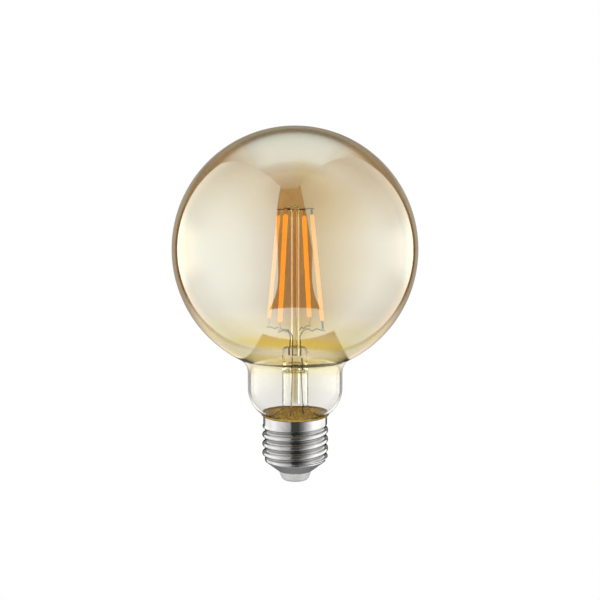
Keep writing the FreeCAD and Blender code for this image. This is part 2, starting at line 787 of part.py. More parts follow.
def shell_inner_radius(height, angle):
    """Inside radius: the outside pulled in by the sheet's thickness along its normal."""
    wall = DIM["shell_wall"]
    steps = 12
    best = None
    for step in range(-steps, steps + 1):
        rise = wall * step / steps
        near = shell_radius(height + rise, angle) - math.sqrt(wall**2 - rise**2)
        best = near if best is None else min(best, near)
    return best


def shell_skin(radius_at):
    """A smooth closed cubic skin round the cap's axis, from the shell's end to its rim."""
    spans = 110
    turns = 60
    low = DIM["shell_end"]
    step = (DIM["shell_rim"] - low) / spans
    widen = 3.0 / (2.0 + math.cos(2 * math.pi / turns))
    knots = [0, 0] + list(range(spans + 1)) + [spans, spans]
    heights = [low + step * sum(knots[spot:spot + 3]) / 3.0 for spot in range(spans + 3)]
    poles = []
    for turn in range(turns):
        angle = 2 * math.pi * turn / turns
        row = []
        for height in heights:
            here, above, below = (radius_at(height + shift, angle) for shift in (0.0, step, -step))
            radius = (here - (above - 2 * here + below) / 6.0) * widen
            row.append(VEC(radius * math.cos(angle), radius * math.sin(angle), height))
        poles.append(row)
    surface = Part.BSplineSurface()
    ends = [4] + [1] * (spans - 1) + [4]
    surface.buildFromPolesMultsKnots(poles, [1] * (turns + 1), ends, list(range(turns + 1)),
                                     list(range(spans + 1)), True, False, 3, 3)
    return surface.toShape()


def edge_ring(face, height):
    """The closed edge of a skin at one height."""
    flat = [edge for edge in face.Edges if edge.Closed and abs(edge.Vertexes[0].Z - height) < 1e-6]
    return Part.Wire(flat[:1])


def screw_shell():
    """Thin rolled shell: two threaded skins closed by flat rings at its rim and its end."""
    outer = shell_skin(shell_radius)
    inner = shell_skin(shell_inner_radius)
    faces = [outer.Faces[0], inner.Faces[0]]
    for height in (DIM["shell_end"], DIM["shell_rim"]):
        disc = Part.Face(edge_ring(outer.Faces[0], height))
        hole = Part.Face(edge_ring(inner.Faces[0], height))
        faces.append(disc.cut(hole).Faces[0])
    skin = Part.makeCompound(faces)
    skin.sewShape()
    solid = Part.Solid(Part.Shell(skin.Faces))
    if solid.Volume < 0:
        solid.reverse()
    feature = doc.addObject("Part::Feature", "shell_feature")
    feature.Shape = solid
    feature.Placement = FreeCAD.Placement()
    keep(feature, "screw_shell")


def capping_cement():
    """Ring of cement between neck and shell, squeezed out in a bead over the rim."""
    body = new_body("capping_cement")
    sketch = new_sketch(body, "cement_profile", "XZ_Plane")
    _, _, shoulder, mouth = envelope_centres()
    turn = heading(shoulder, mouth)
    meet = math.degrees(math.asin((DIM["cement_top"] - shoulder[1]) / DIM["shoulder_radius"]))
    wall = DIM["shell_band_radius"] - DIM["shell_wall"]
    rim = DIM["shell_rim"]
    glass = arc(shoulder, DIM["shoulder_radius"], turn, meet)
    blend = arc(mouth, DIM["mouth_blend"], turn + 180.0, 180.0)
    top = (glass.EndPoint.x, glass.EndPoint.y)
    corners = [
        (DIM["mouth_radius"], mouth[1]),
        (DIM["mouth_radius"], DIM["cement_foot"]),
        (wall, DIM["cement_foot"]),
        (wall, rim),
        (DIM["shell_band_radius"], rim),
        (DIM["cement_lip_radius"], rim + DIM["cement_lip_rise"]),
        (DIM["cement_bulge_radius"], rim + DIM["cement_bulge_rise"]),
        top,
    ]
    shapes = [glass, blend] + [line(start, end) for start, end in zip(corners, corners[1:])]
    for shape in shapes:
        sketch.addGeometry(shape, False)
    count = len(shapes)
    sketch.addConstraint(Sketcher.Constraint("Coincident", 0, 1, 1, 1))
    sketch.addConstraint(Sketcher.Constraint("Coincident", 1, 2, 2, 1))
    for number in range(2, count - 1):
        sketch.addConstraint(Sketcher.Constraint("Coincident", number, 2, number + 1, 1))
    sketch.addConstraint(Sketcher.Constraint("Coincident", count - 1, 2, 0, 2))
    bind(sketch, "Radius", (0,), "shoulder_radius")
    bind(sketch, "Radius", (1,), "mouth_blend")
    pin_point(sketch, 0, 3, "neck_radius - shoulder_radius", "shoulder_top")
    pin_point(sketch, 1, 3, "mouth_radius + mouth_blend", None)
    pin_point(sketch, 3, 1, "mouth_radius", "cement_foot")
    pin_point(sketch, 4, 1, "shell_band_radius - shell_wall", "cement_foot")
    pin_point(sketch, 5, 1, "shell_band_radius - shell_wall", "shell_rim")
    pin_point(sketch, 6, 1, "shell_band_radius", "shell_rim")
    pin_point(sketch, 7, 1, "cement_lip_radius", "shell_rim + cement_lip_rise")
    pin_point(sketch, 8, 1, "cement_bulge_radius", "shell_rim + cement_bulge_rise")
    pin_point(sketch, 0, 2, None, "cement_top")
    revolve(body, sketch, "cement_turn")
    keep(body, "capping_cement")


def potting_compound():
    """Filler under the stem's skirt, with ways through for the leads and the exhaust tube."""
    body = turned_body("potting_compound", [
        ("potting_bore", "potting_foot"),
        ("mouth_radius - glass_wall - fit_gap", "potting_foot"),
        ("mouth_radius - glass_wall - fit_gap", "potting_top - potting_slope_drop"),
        ("stem_radius + potting_brow_out", "potting_top - potting_brow_drop"),
        ("stem_radius + potting_crown_out", "potting_top"),
        ("potting_bore", "potting_top"),
    ])
    drill(body, "potting_lead_bores", ring_spots("lead_circle", LEAD_AZIMUTHS), "lead_wire_radius + lead_gap",
          "potting_foot - drill_past", "potting_top - potting_foot + 2 * drill_past", True)
    keep(body, "potting_compound")


def cap_insulator():
    body = turned_body("cap_insulator", [
        ("insulator_bore", "insulator_floor"),
        ("contact_flat - insulator_floor_inset", "insulator_floor"),
        ("contact_radius - insulator_seat_inset", "contact_top - insulator_seat_drop"),
        ("contact_radius - insulator_seat_inset", "insulator_nose"),
        ("insulator_nose_radius", "insulator_nose"),
        ("shell_end_radius", "insulator_rim"),
        ("shell_end_radius", "shell_end"),
        ("shell_end_radius - shell_wall - fit_gap", "shell_end"),
        ("shell_end_radius - shell_wall - fit_gap", "insulator_top"),
        ("shell_end_radius - insulator_wall", "insulator_top"),
        ("contact_flat + insulator_hollow_out", "insulator_nose + insulator_hollow_rise"),
        ("insulator_bore", "insulator_nose + insulator_hub_rise"),
    ])
    keep(body, "cap_insulator")


def centre_contact():
    body = turned_body("centre_contact", [
        ("0", "0"),
        ("contact_flat", "0"),
        ("contact_flat + contact_edge_out", "contact_edge_rise"),
        ("contact_radius - contact_shoulder_inset", "contact_shoulder_rise"),
        ("contact_radius - fit_gap", "contact_top - contact_side_drop"),
        ("contact_radius", "contact_top"),
        ("contact_radius - contact_wall", "contact_top"),
        ("contact_radius - contact_wall - fit_gap", "contact_top - contact_lining_drop"),
        ("contact_radius - contact_lining_inset", "contact_lining_rise"),
        ("contact_flat", "contact_wall"),
        ("0", "contact_wall"),
    ])
    keep(body, "centre_contact")


def insulating_sleeve():
    body = turned_body("insulating_sleeve", [
        ("sleeve_radius - sleeve_wall", "insulator_top"),
        ("sleeve_radius", "insulator_top"),
        ("sleeve_radius", "sleeve_top"),
        ("sleeve_radius - sleeve_wall", "sleeve_top"),
    ])
    keep(body, "insulating_sleeve")


def block(name):
    box = doc.addObject("Part::Box", "box_" + name)
    for side, key in (("Length", "long"), ("Width", "wide"), ("Height", "high")):
        box.setExpression(side, bound(name + "_" + key))
    for axis, key in (("x", "left"), ("y", "front"), ("z", "foot")):
        box.setExpression("Placement.Base." + axis, bound(name + "_" + key))
    return box


def drum(name, tag, radius, long, direction, step="0"):
    """A round primitive for a piece's place in the sheet, moved along its axis by a step."""
    cylinder = doc.addObject("Part::Cylinder", tag)
    cylinder.setExpression("Radius", bound(radius))
    cylinder.setExpression("Height", bound(long))
    cylinder.Placement.Rotation = FreeCAD.Rotation(UP, VEC(*direction))
    for axis, key, share in zip("xyz", ("left", "front", "foot"), direction):
        formula = "%s_%s + (%s) * %d" % (name, key, step, share)
        cylinder.setExpression("Placement.Base." + axis, bound(formula))
    return cylinder


def fuse(name, items):
    joined = doc.addObject("Part::MultiFuse", "fuse_" + name)
    joined.Shapes = items
    doc.recompute()
    return joined


def across_board(tag, radius, long):
    """A round pin that lies along the lamp's depth, square to the driver board."""
    pin = doc.addObject("Part::Cylinder", tag)
    pin.setExpression("Radius", bound(radius))
    pin.setExpression("Height", bound(long))
    pin.Placement.Rotation = FreeCAD.Rotation(UP, VEC(0, 1, 0))
    return pin


def header_pins():
    """Header block with four pins that carry the wireless board off the driver board."""
    items = [block("header_block")]
    board_face = "driver_board_front + driver_board_wide"
    reach = "wireless_board_front - (%s)" % board_face
    for number in range(HEADER_PINS):
        pin = across_board("header_pin_%d" % number, "header_pin_radius", reach)
        step = "header_block_left + header_pin_inset + header_pin_pitch * %d" % number
        pin.setExpression("Placement.Base.x", bound(step))
        pin.setExpression("Placement.Base.y", bound(board_face))
        pin.setExpression("Placement.Base.z", bound("header_block_foot + header_block_high / 2"))
        items.append(pin)
    keep(fuse("pin_header", items), "pin_header")


def antenna_trace():
    """Meandering copper aerial along the top of the wireless board."""
    body = new_body("antenna_trace")
    sketch = new_sketch(body, "antenna_outline", "XZ_Plane")
    foot = "antenna_foot"
    low_edge = "antenna_foot + antenna_track"
    high_edge = "antenna_foot + antenna_tall - antenna_track"
    top = "antenna_foot + antenna_tall"
    lower = [("antenna_left - antenna_track", foot), ("antenna_left", foot)]
    upper = []
    for number in range(ANTENNA_FOLDS):
        high = number % 2 == 0
        step = "antenna_left + antenna_pitch * %d" % number
        after = "antenna_left + antenna_pitch * %d" % (number + 1)
        back = " - antenna_track" if high else " + antenna_track"
        lower.append((step, high_edge if high else foot))
        lower.append((after + back, high_edge if high else foot))
        upper.append((step + back, top if high else low_edge))
        upper.append((after, top if high else low_edge))
    polyline(sketch, lower + list(reversed(upper)))
    pad(body, sketch, "antenna_pad", "antenna_thick", True)
    board_face = DIM["wireless_board_front"] + DIM["wireless_board_wide"]
    body.Placement = FreeCAD.Placement(VEC(0, board_face, 0), FreeCAD.Rotation())
    keep(body, "antenna_trace")


def bulk_capacitor():
    can = drum("bulk_capacitor", "capacitor_can", "bulk_capacitor_radius", "bulk_capacitor_long", (1, 0, 0))
    legs = []
    for number, side in enumerate((-1, 1)):
        leg = across_board("capacitor_leg_%d" % number, "capacitor_leg_radius",
                           "driver_board_front - bulk_capacitor_front")
        inset = "bulk_capacitor_left + bulk_capacitor_long - capacitor_leg_inset"
        height = "bulk_capacitor_foot + (%d) * capacitor_leg_spread" % side
        leg.setExpression("Placement.Base.x", bound(inset))
        leg.setExpression("Placement.Base.y", bound("bulk_capacitor_front"))
        leg.setExpression("Placement.Base.z", bound(height))
        legs.append(leg)
    keep(fuse("bulk_capacitor", [can] + legs), "bulk_capacitor")


def fusible_resistor():
    """Upright resistor body with a foot lead for the live wire and a bent lead to the board."""
    name = "fusible_resistor"
    upright = (0, 0, 1)
    barrel = drum(name, "resistor_barrel", name + "_radius", name + "_long", upright)
    thin = "mains_wire_radius"
    foot = drum(name, "foot_lead", thin, "resistor_foot_lead", upright, "0 - resistor_foot_lead")
    riser = drum(name, "riser_lead", thin + " + resistor_riser_extra", "resistor_riser_long", upright,
                 name + "_long")
    cross = across_board("cross_lead", thin, "driver_board_front - fusible_resistor_front")
    cross.setExpression("Placement.Base.y", bound(name + "_front"))
    cross.setExpression("Placement.Base.z", bound(name + "_foot + %s_long + resistor_cross_rise" % name))
    keep(fuse(name, [barrel, foot, riser, cross]), name)


def choke():
    """Drum core with two flanges and its copper winding as a separate ring."""
    name = "choke_core"
    towards_front = (0, -1, 0)
    post = drum(name, "choke_post", name + "_radius", name + "_long", towards_front)
    near = drum(name, "choke_near_flange", "choke_flange_radius", "choke_flange_thick", towards_front)
    far = drum(name, "choke_far_flange", "choke_flange_radius", "choke_flange_thick", towards_front,
               "choke_core_long - choke_flange_thick")
    keep(fuse(name, [post, near, far]), name)
    long = "choke_core_long - 2 * choke_flange_thick - 2 * winding_gap"
    step = "choke_flange_thick + winding_gap"
    coil = drum(name, "winding_coil", "choke_flange_radius - winding_inset", long, towards_front, step)
    hole = drum(name, "winding_hole", "choke_core_radius + winding_gap", long, towards_front, step)
    winding = doc.addObject("Part::Cut", "choke_winding_cut")
    winding.Base = coil
    winding.Tool = hole
    keep(winding, "choke_winding")


def live_wire():
    """From the contact's solder, through the insulator's bore, to the resistor's foot lead."""
    points = [
        ("0", "live_start"),
        ("0", "live_straight_top"),
        ("0 - fusible_resistor_front", "live_bend_top"),
        ("0 - fusible_resistor_front", "fusible_resistor_foot - resistor_foot_lead"),
    ]
    return upright_wire("live_wire", points, "mains_wire_radius", -90.0)


def neutral_wire():
    """From the driver board's edge, over the sleeve, to the inside of the shell's rim."""
    points = [
        ("neutral_riser", "neutral_start"),
        ("neutral_riser", "neutral_level"),
        ("neutral_reach", "neutral_level"),
        ("neutral_reach", "neutral_end"),
    ]
    return upright_wire("neutral_wire", points, "mains_wire_radius", 0.0)


def solder_joints(live, neutral):
    dot = doc.addObject("Part::Cone", "contact_solder_cone")
    dot.setExpression("Radius1", bound("contact_solder_foot"))
    dot.setExpression("Radius2", bound("contact_solder_peak"))
    dot.setExpression("Height", bound("contact_solder_high"))
    dot.setExpression("Placement.Base.z", bound("contact_wall"))
    spot = doc.addObject("Part::Cylinder", "shell_solder_bar")
    spot.setExpression("Radius", bound("shell_solder_radius"))
    spot.setExpression("Height", bound("shell_band_radius - shell_wall - shell_solder_gap - neutral_reach"))
    spot.Placement.Rotation = FreeCAD.Rotation(UP, VEC(1, 0, 0))
    spot.setExpression("Placement.Base.x", bound("neutral_reach"))
    spot.setExpression("Placement.Base.z", bound("neutral_end - shell_solder_drop"))
    for label, blank, wire in (("contact_solder", dot, live), ("shell_solder", spot, neutral)):
        cut = doc.addObject("Part::Cut", label + "_cut")
        cut.Base = blank
        cut.Tool = wire
        keep(cut, label)


def electronics():
    for name in BLOCKS:
        if name != "header_block":
            keep(block(name), name)
    header_pins()
    antenna_trace()
    bulk_capacitor()
    fusible_resistor()
    choke()
    solder_joints(live_wire(), neutral_wire())


def export():
    doc.removeObject(scratch.Name)
    doc.recompute()
    for obj in doc.Objects:
        assert "Invalid" not in obj.State and "Error" not in obj.State, (obj.Label, obj.State)
    os.makedirs("parts", exist_ok=True)
    labels = [node.Label for node in NODES]
    assert len(set(labels)) == len(labels), labels
    for node in NODES:
        shape = node.Shape
        assert not shape.isNull() and shape.isValid() and shape.Volume > 0, node.Label
        assert len(shape.Solids) == 1, (node.Label, len(shape.Solids))
        shape.exportStep("parts/%s.step" % node.Label)


glass_globe()
stem_flare()
exhaust_tube()
support_pillar(link_wires())
lower_support_wires()
lead_wires()
light_strips()
screw_shell()
capping_cement()
potting_compound()
cap_insulator()
centre_contact()
insulating_sleeve()
electronics()
export()
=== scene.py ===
import json
import math
import random

import bpy
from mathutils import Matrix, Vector


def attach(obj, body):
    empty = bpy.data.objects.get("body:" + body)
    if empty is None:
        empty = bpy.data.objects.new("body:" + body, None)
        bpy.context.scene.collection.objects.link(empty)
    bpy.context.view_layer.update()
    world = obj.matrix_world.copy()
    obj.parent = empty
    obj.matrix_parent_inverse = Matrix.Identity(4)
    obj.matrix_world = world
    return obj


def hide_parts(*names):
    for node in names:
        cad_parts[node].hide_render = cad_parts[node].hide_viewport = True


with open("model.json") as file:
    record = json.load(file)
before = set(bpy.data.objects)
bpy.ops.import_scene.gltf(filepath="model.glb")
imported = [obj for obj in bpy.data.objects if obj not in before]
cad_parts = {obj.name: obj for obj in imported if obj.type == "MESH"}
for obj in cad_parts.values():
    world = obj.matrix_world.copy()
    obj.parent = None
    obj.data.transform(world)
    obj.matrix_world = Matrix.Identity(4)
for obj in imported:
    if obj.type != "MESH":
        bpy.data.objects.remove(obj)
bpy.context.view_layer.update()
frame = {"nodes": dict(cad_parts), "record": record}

MM = 0.001
BODY = "root"

# The lamp's driving sizes in millimetres; the cap's contact stands at height zero.
GLOBE_RADIUS = 47.5
GLOBE_CENTRE = 90.5
GLASS_WALL = 0.8
WAIST_FILLET = 6.5
NECK_RADIUS = 18.6
SHOULDER_TOP = 36.5
SHOULDER_RADIUS = 12.0
MOUTH_RADIUS = 11.2
MOUTH_BLEND = 1.5
MOUTH_END = 22.5
STEM_RADIUS = 5.15
STEM_WALL = 0.85
PINCH_TOP = 52.8
PINCH_HALF_THICK = 3.3
PILLAR_RADIUS = 1.6
STRIP_AZIMUTHS = {"front_right": -28.5, "back_right": 61.5, "back_left": 151.5, "front_left": 241.5}
STRIP_TOP = Vector((7.4, 0.0, 104.4))
STRIP_FOOT = Vector((11.9, 0.0, 63.4))
WIRE_RADIUS = 0.2
SHELL_RIM = 25.6
SHELL_END = 8.0
BAND_RADIUS = 12.6
BAND_END = 22.5
SHELL_END_RADIUS = 12.0
SHELL_WALL = 0.3
THREAD_CREST = 13.03
THREAD_DEPTH = 1.08
THREAD_PITCH = 3.629
THREAD_ARC = 1.025
THREAD_PHASE = 19.85
THREAD_RUN_OUT = 1.5
CEMENT_TOP = 26.55

# How the amber coat fades down the glass: heights in metres, and the tint of one wall there.
AMBER_BY_HEIGHT = (
    (0.034, (0.91, 0.90, 0.87)),
    (0.042, (0.955, 0.935, 0.86)),
    (0.0475, (0.945, 0.89, 0.62)),
    (0.0485, (0.96, 0.87, 0.56)),
    (0.0495, (0.96, 0.80, 0.36)),
    (0.0518, (0.96, 0.80, 0.38)),
    (0.0528, (0.94, 0.845, 0.77)),
    (0.0553, (0.935, 0.835, 0.75)),
    (0.0564, (0.92, 0.79, 0.38)),
    (0.0590, (0.90, 0.75, 0.355)),
    (0.0655, (0.75, 0.53, 0.29)),
    (0.092, (0.75, 0.53, 0.285)),
    (0.112, (0.80, 0.61, 0.345)),
)

# The tints run from zero up to this height; noise and a lean to one side move them up and down.
AMBER_REACH = 0.14
AMBER_UNEVEN = 0.003
AMBER_LEAN = 0.05

# The mirror-like coat sets in between these two heights, in metres, and has this index.
COAT_FADE = (0.053, 0.0675)
COAT_IOR = 2.8

# In millimetres: the height of the fused seam, and how deep the globe's outer skin reaches.
SEAM_HEIGHT = 48.3
SKIN_MARGIN = 0.08

# The studio: how bright its white backdrop is through glass, and the casts of its diffusers.
BACKDROP_THROUGH_GLASS = 0.92
BACKDROP_OFF_LEVEL = 0.30
TENT_TINT = (0.77, 1.0, 1.03)
WARM_TINT = (0.80, 1.0, 0.87)
REAR_TINT = (1.0, 0.92, 0.76)
DIFFUSE_SHARE = 0.08
CEILING_PEAK = 3.0
CEILING_BY_TILT = (
    (0.0, 0.04), (55.5, 0.04), (56.5, 0.25), (64.0, 0.47), (76.0, 0.82), (83.0, 1.12), (90.0, 1.58),
    (100.0, 1.55), (113.0, 1.35), (124.0, 1.0), (131.0, 0.6), (139.0, 0.15), (151.0, 0.35), (180.0, 0.35),
)
DEGREES = 180.0 / math.pi
WHITE = (1.0, 1.0, 1.0, 1.0)

# Mesh fineness: edges sharper than this stay sharp; points nearer than this, in millimetres, are one.
SHARP_ANGLE = math.radians(40)
SAME_POINT = 1e-5
WIRE_SIDES = 12
WIRE_STEPS = 6


# ---------------------------------------------------------------- node helpers

class Nodes:
    """A small writer for one node tree: each call adds a node and returns its output socket."""

    def __init__(self, tree):
        self.tree = tree
        self.tree.nodes.clear()

    def add(self, kind, **settings):
        node = self.tree.nodes.new(kind)
        for key, setting in settings.items():
            setattr(node, key, setting)
        return node

    def plug(self, socket, source):
        if isinstance(source, bpy.types.NodeSocket):
            self.tree.links.new(source, socket)
        elif source is not None:
            socket.default_value = source

    def maths(self, operation, *sources):
        node = self.add("ShaderNodeMath", operation=operation)
        for socket, source in zip(node.inputs, sources):
            self.plug(socket, source)
        return node.outputs[0]

    def plus(self, first, second):
        return self.maths("ADD", first, second)

    def minus(self, first, second):
        return self.maths("SUBTRACT", first, second)

    def times(self, *sources):
        product = sources[0]
        for source in sources[1:]:
            product = self.maths("MULTIPLY", product, source)
        return product

    def size(self, value):
        return self.maths("ABSOLUTE", value)

    def smooth(self, value, low, high, to_low=0.0, to_high=1.0, kind="SMOOTHSTEP"):
        node = self.add("ShaderNodeMapRange", interpolation_type=kind)
        for socket, source in zip(node.inputs[:5], (value, low, high, to_low, to_high)):
            self.plug(socket, source)
        return node.outputs[0]

    def blend(self, share, first, second):
        node = self.add("ShaderNodeMix", data_type="RGBA")
        self.plug(node.inputs[0], share)
        self.plug(node.inputs[6], first)
        self.plug(node.inputs[7], second)
        return node.outputs[2]

    def ramp(self, value, stops, reach=1.0):
        """Colours by place along a run from zero to reach."""
        node = self.add("ShaderNodeValToRGB")
        self.plug(node.inputs[0], value)
        marks = node.color_ramp.elements
        while len(marks) < len(stops):
            marks.new(0.5)
        for mark, (spot, colour) in zip(marks, stops):
            mark.position = spot / reach
            mark.color = rgba(*colour)
        return node.outputs[0]

    def place(self):
        """Where a surface point is, in metres, in the lamp's own frame."""
        return self.add("ShaderNodeTexCoord").outputs["Object"]

    def axes(self):
        """The three coordinates of that place: across, depth and height."""
        split = self.add("ShaderNodeSeparateXYZ")
        self.plug(split.inputs[0], self.place())
        return split.outputs

    def off_axis(self):
        """How far a surface point is from the lamp's axis, in metres."""
        across, depth, _ = self.axes()
        square = self.plus(self.maths("POWER", across, 2.0), self.maths("POWER", depth, 2.0))
        return self.maths("SQRT", square)

    def facing(self):
        """Zero where a surface squarely faces the eye, one at its outline."""
        return self.add("ShaderNodeLayerWeight").outputs["Facing"]

    def stretched(self, scale):
        node = self.add("ShaderNodeMapping")
        self.plug(node.inputs["Vector"], self.place())
        node.inputs["Scale"].default_value = scale
        return node.outputs[0]

    def noise(self, scale, detail=3.0, vector=None, rough=0.5):
        node = self.add("ShaderNodeTexNoise")
        self.plug(node.inputs["Vector"], vector if vector else self.place())
        node.inputs["Scale"].default_value = scale
        node.inputs["Detail"].default_value = detail
        node.inputs["Roughness"].default_value = rough
        return node.outputs["Fac"]

    def cells(self, scale, feature="F1"):
        node = self.add("ShaderNodeTexVoronoi", feature=feature)
        self.plug(node.inputs["Vector"], self.place())
        node.inputs["Scale"].default_value = scale
        return node.outputs["Distance"]

    def bump(self, height, strength, distance):
        node = self.add("ShaderNodeBump")
        node.inputs["Strength"].default_value = strength
        node.inputs["Distance"].default_value = distance
        self.plug(node.inputs["Height"], height)
        return node.outputs[0]

    def principled(self, **inputs):
        node = self.add("ShaderNodeBsdfPrincipled")
        for name, source in inputs.items():
            self.plug(node.inputs[name.replace("_", " ")], source)
        return node.outputs[0]

    def finish(self, shader):
        self.tree.links.new(shader, self.add("ShaderNodeOutputMaterial").inputs["Surface"])


def new_material(name):
    material = bpy.data.materials.new(name)
    material.use_nodes = True
    return material, Nodes(material.node_tree)


def rgba(red, green, blue):
    return (red, green, blue, 1.0)


# ---------------------------------------------------------------- materials

def grained(name, base, shade, scale, rough, metal=0.0, bump=0.15, depth=0.00005, vector=None, **more):
    """A surface whose colour, gloss and relief all vary with one fine grain."""
    material, nodes = new_material(name)
    stretch = nodes.stretched(vector) if vector else None
    grain = nodes.noise(scale, 5.0, stretch)
    colour = nodes.blend(nodes.smooth(grain, 0.3, 0.7), rgba(*base), rgba(*shade))
    gloss = nodes.smooth(grain, 0.25, 0.75, rough[0], rough[1])
    normal = nodes.bump(grain, bump, depth)
    nodes.finish(nodes.principled(Base_Color=colour, Roughness=gloss, Metallic=metal, Normal=normal, **more))
    return material


def metal_shaded_on_right(name, pale, dark, metal, front_only=False):
    """Metal that is bright on most pieces, with painted shade making those at the lamp's right dark."""
    material, nodes = new_material(name)
    across, depth, _ = nodes.axes()
    grain = nodes.smooth(nodes.noise(1600.0, 5.0), 0.3, 0.7)
    lit_metal_colour = nodes.blend(grain, rgba(*pale[0]), rgba(*pale[1]))
    shaded_metal_colour = nodes.blend(grain, rgba(*dark[0]), rgba(*dark[1]))
    # painted shade: pieces right of the axis, and with front_only only those in front, take the dark copy of
    # the metal
    share = nodes.smooth(across, 0.0008, 0.0016)
    if front_only:
        share = nodes.times(share, nodes.smooth(depth, 0.001, -0.001))
    colour = nodes.blend(share, lit_metal_colour, shaded_metal_colour)
    gloss = nodes.smooth(grain, 0.0, 1.0, 0.25, 0.45)
    normal = nodes.bump(grain, 0.25, 0.00005)
    nodes.finish(nodes.principled(Base_Color=colour, Metallic=metal, Normal=normal, Roughness=gloss))
    return material


def lets_lamps_through(nodes, glass, tint):
    """Glass for what is seen, plain tint for lamp light, so that what is inside is lit."""
    clear = nodes.add("ShaderNodeBsdfTransparent")
    nodes.plug(clear.inputs["Color"], tint)
    mix = nodes.add("ShaderNodeMixShader")
    nodes.plug(mix.inputs[0], nodes.add("ShaderNodeLightPath").outputs["Is Shadow Ray"])
    nodes.plug(mix.inputs[1], glass)
    nodes.plug(mix.inputs[2], clear.outputs[0])
    nodes.finish(mix.outputs[0])


def outer_skin(nodes):
    """One on the front of the globe's outer skin, zero on its inner skin and on backs.

    The neck is farther from the globe's middle, so both of its skins count as outer.
    """
    away = nodes.add("ShaderNodeVectorMath", operation="DISTANCE")
    nodes.plug(away.inputs[0], nodes.place())
    away.inputs[1].default_value = (0.0, 0.0, GLOBE_CENTRE * MM)
    outside = nodes.maths("GREATER_THAN", away.outputs["Value"], (GLOBE_RADIUS - SKIN_MARGIN) * MM)
    return nodes.times(outside, nodes.minus(1.0, nodes.add("ShaderNodeNewGeometry").outputs["Backfacing"]))


def glass_rim(nodes, height, coated, facing, tint):
    """The tint, darkened towards the outlines, where sight passes through more glass."""
    neck = nodes.blend(nodes.smooth(height, 0.038, 0.044), rgba(0.77, 0.75, 0.68), rgba(0.79, 0.69, 0.46))
    rim = nodes.blend(coated, neck, rgba(0.70, 0.55, 0.32))
    start = nodes.smooth(coated, 0.0, 1.0, 0.42, 0.66)
    full = nodes.smooth(coated, 0.0, 1.0, 0.80, 0.88)
    return nodes.blend(nodes.smooth(facing, start, full), tint, rim)


def fused_seam(nodes, across, level, facing, outside):
    """Share of the dark seam, uneven in width, where the globe was fused to its neck."""
    half_width = nodes.smooth(across, -0.010, 0.004, 0.0003, 0.0008)
    off_seam = nodes.size(nodes.minus(level, SEAM_HEIGHT * MM))
    seam = nodes.smooth(nodes.minus(off_seam, half_width), 0.00015, -0.00015)
    return nodes.times(seam, nodes.smooth(facing, 0.95, 0.80), outside)


def amber_glass():
    """Amber glass with a mirror-like coat outside: full on the globe, golden below, gone in the neck."""
    material, nodes = new_material("amber_glass")
    across, _, level = nodes.axes()
    facing = nodes.facing()
    outside = outer_skin(nodes)
    # the amber fades at a height that is uneven and leans a little to one side
    uneven = nodes.times(nodes.minus(nodes.noise(22.0, 2.0), 0.5), AMBER_UNEVEN)
    height = nodes.plus(nodes.plus(level, uneven), nodes.times(across, AMBER_LEAN))
    tint = nodes.ramp(nodes.smooth(height, 0.0, AMBER_REACH, kind="LINEAR"), AMBER_BY_HEIGHT, AMBER_REACH)
    coated = nodes.smooth(height, *COAT_FADE)
    tint = glass_rim(nodes, height, coated, facing, tint)
    seam = fused_seam(nodes, across, level, facing, outside)
    tint = nodes.blend(seam, tint, rgba(0.02, 0.015, 0.008))
    coat = nodes.times(coated, outside, nodes.smooth(facing, 0.66, 0.80, 1.0, 0.4))
    mirrored = nodes.blend(coat, WHITE, rgba(0.2, 0.8, 1.0))
    bend = nodes.plus(nodes.smooth(height, 0.027, 0.036, 1.08, 1.36),
                      nodes.smooth(height, 0.044, 0.050, 0.0, 0.14))
    shine = nodes.times(nodes.smooth(coat, 0.0, 1.0, 0.22, 1.0), nodes.minus(1.0, seam))
    haze = nodes.smooth(height, 0.047, 0.050, 0.035, 0.0)
    ripple = nodes.bump(nodes.noise(60.0, 1.0), 0.05, 0.0004)
    glass = nodes.principled(Base_Color=tint, Roughness=haze, IOR=bend, Transmission_Weight=1.0,
                             Normal=ripple, Specular_IOR_Level=shine, Specular_Tint=mirrored,
                             Coat_Weight=coat, Coat_Roughness=0.0, Coat_IOR=COAT_IOR)
    lets_lamps_through(nodes, glass, tint)
    return material


def clear_glass():
    """Stem glass with faint drawn streaks along its length and painted pale highlights, glowing faintly, down
    the pillar's edges.
    """
    material, nodes = new_material("clear_glass")
    _, _, level = nodes.axes()
    streak = nodes.noise(900.0, 2.0, nodes.stretched((1.0, 1.0, 0.03)))
    tint = nodes.blend(streak, rgba(0.985, 0.985, 0.965), rgba(0.96, 0.965, 0.945))
    # the thin tube and the pillar are drawn from tan glass
    slender = nodes.smooth(nodes.off_axis(), 0.00215, 0.00205)
    tint = nodes.blend(slender, tint, rgba(0.92, 0.86, 0.70))
    # the skirt hardly shows against the filler that it lies on
    skirt = nodes.smooth(level, 0.0315, 0.0295)
    tint = nodes.blend(skirt, tint, WHITE)
    bend = nodes.smooth(skirt, 0.0, 1.0, 1.5, 1.015)
    shine = nodes.times(nodes.smooth(level, 0.027, 0.033, 0.0, 0.3),
                        nodes.smooth(level, 0.051, 0.055, 1.0, 0.1))
    # painted highlight: pale greyed edges down the sides of the pillar, which also glow a pale blue
    pillar = nodes.times(slender, nodes.smooth(level, 0.053, 0.056), nodes.smooth(level, 0.1040, 0.1030))
    edge = nodes.times(nodes.smooth(nodes.facing(), 0.46, 0.66), pillar)
    tint = nodes.blend(nodes.times(edge, 0.5), tint, rgba(0.5, 0.5, 0.5))
    normal = nodes.bump(streak, 0.08, 0.00005)
    # the emission here makes the pillar's painted highlight glow
    glass = nodes.principled(Base_Color=tint, Roughness=0.0, IOR=bend, Transmission_Weight=1.0,
                             Normal=normal, Specular_IOR_Level=shine, Emission_Color=rgba(0.45, 0.85, 1.9),
                             Emission_Strength=nodes.times(edge, 0.8))
    lets_lamps_through(nodes, glass, tint)
    return material


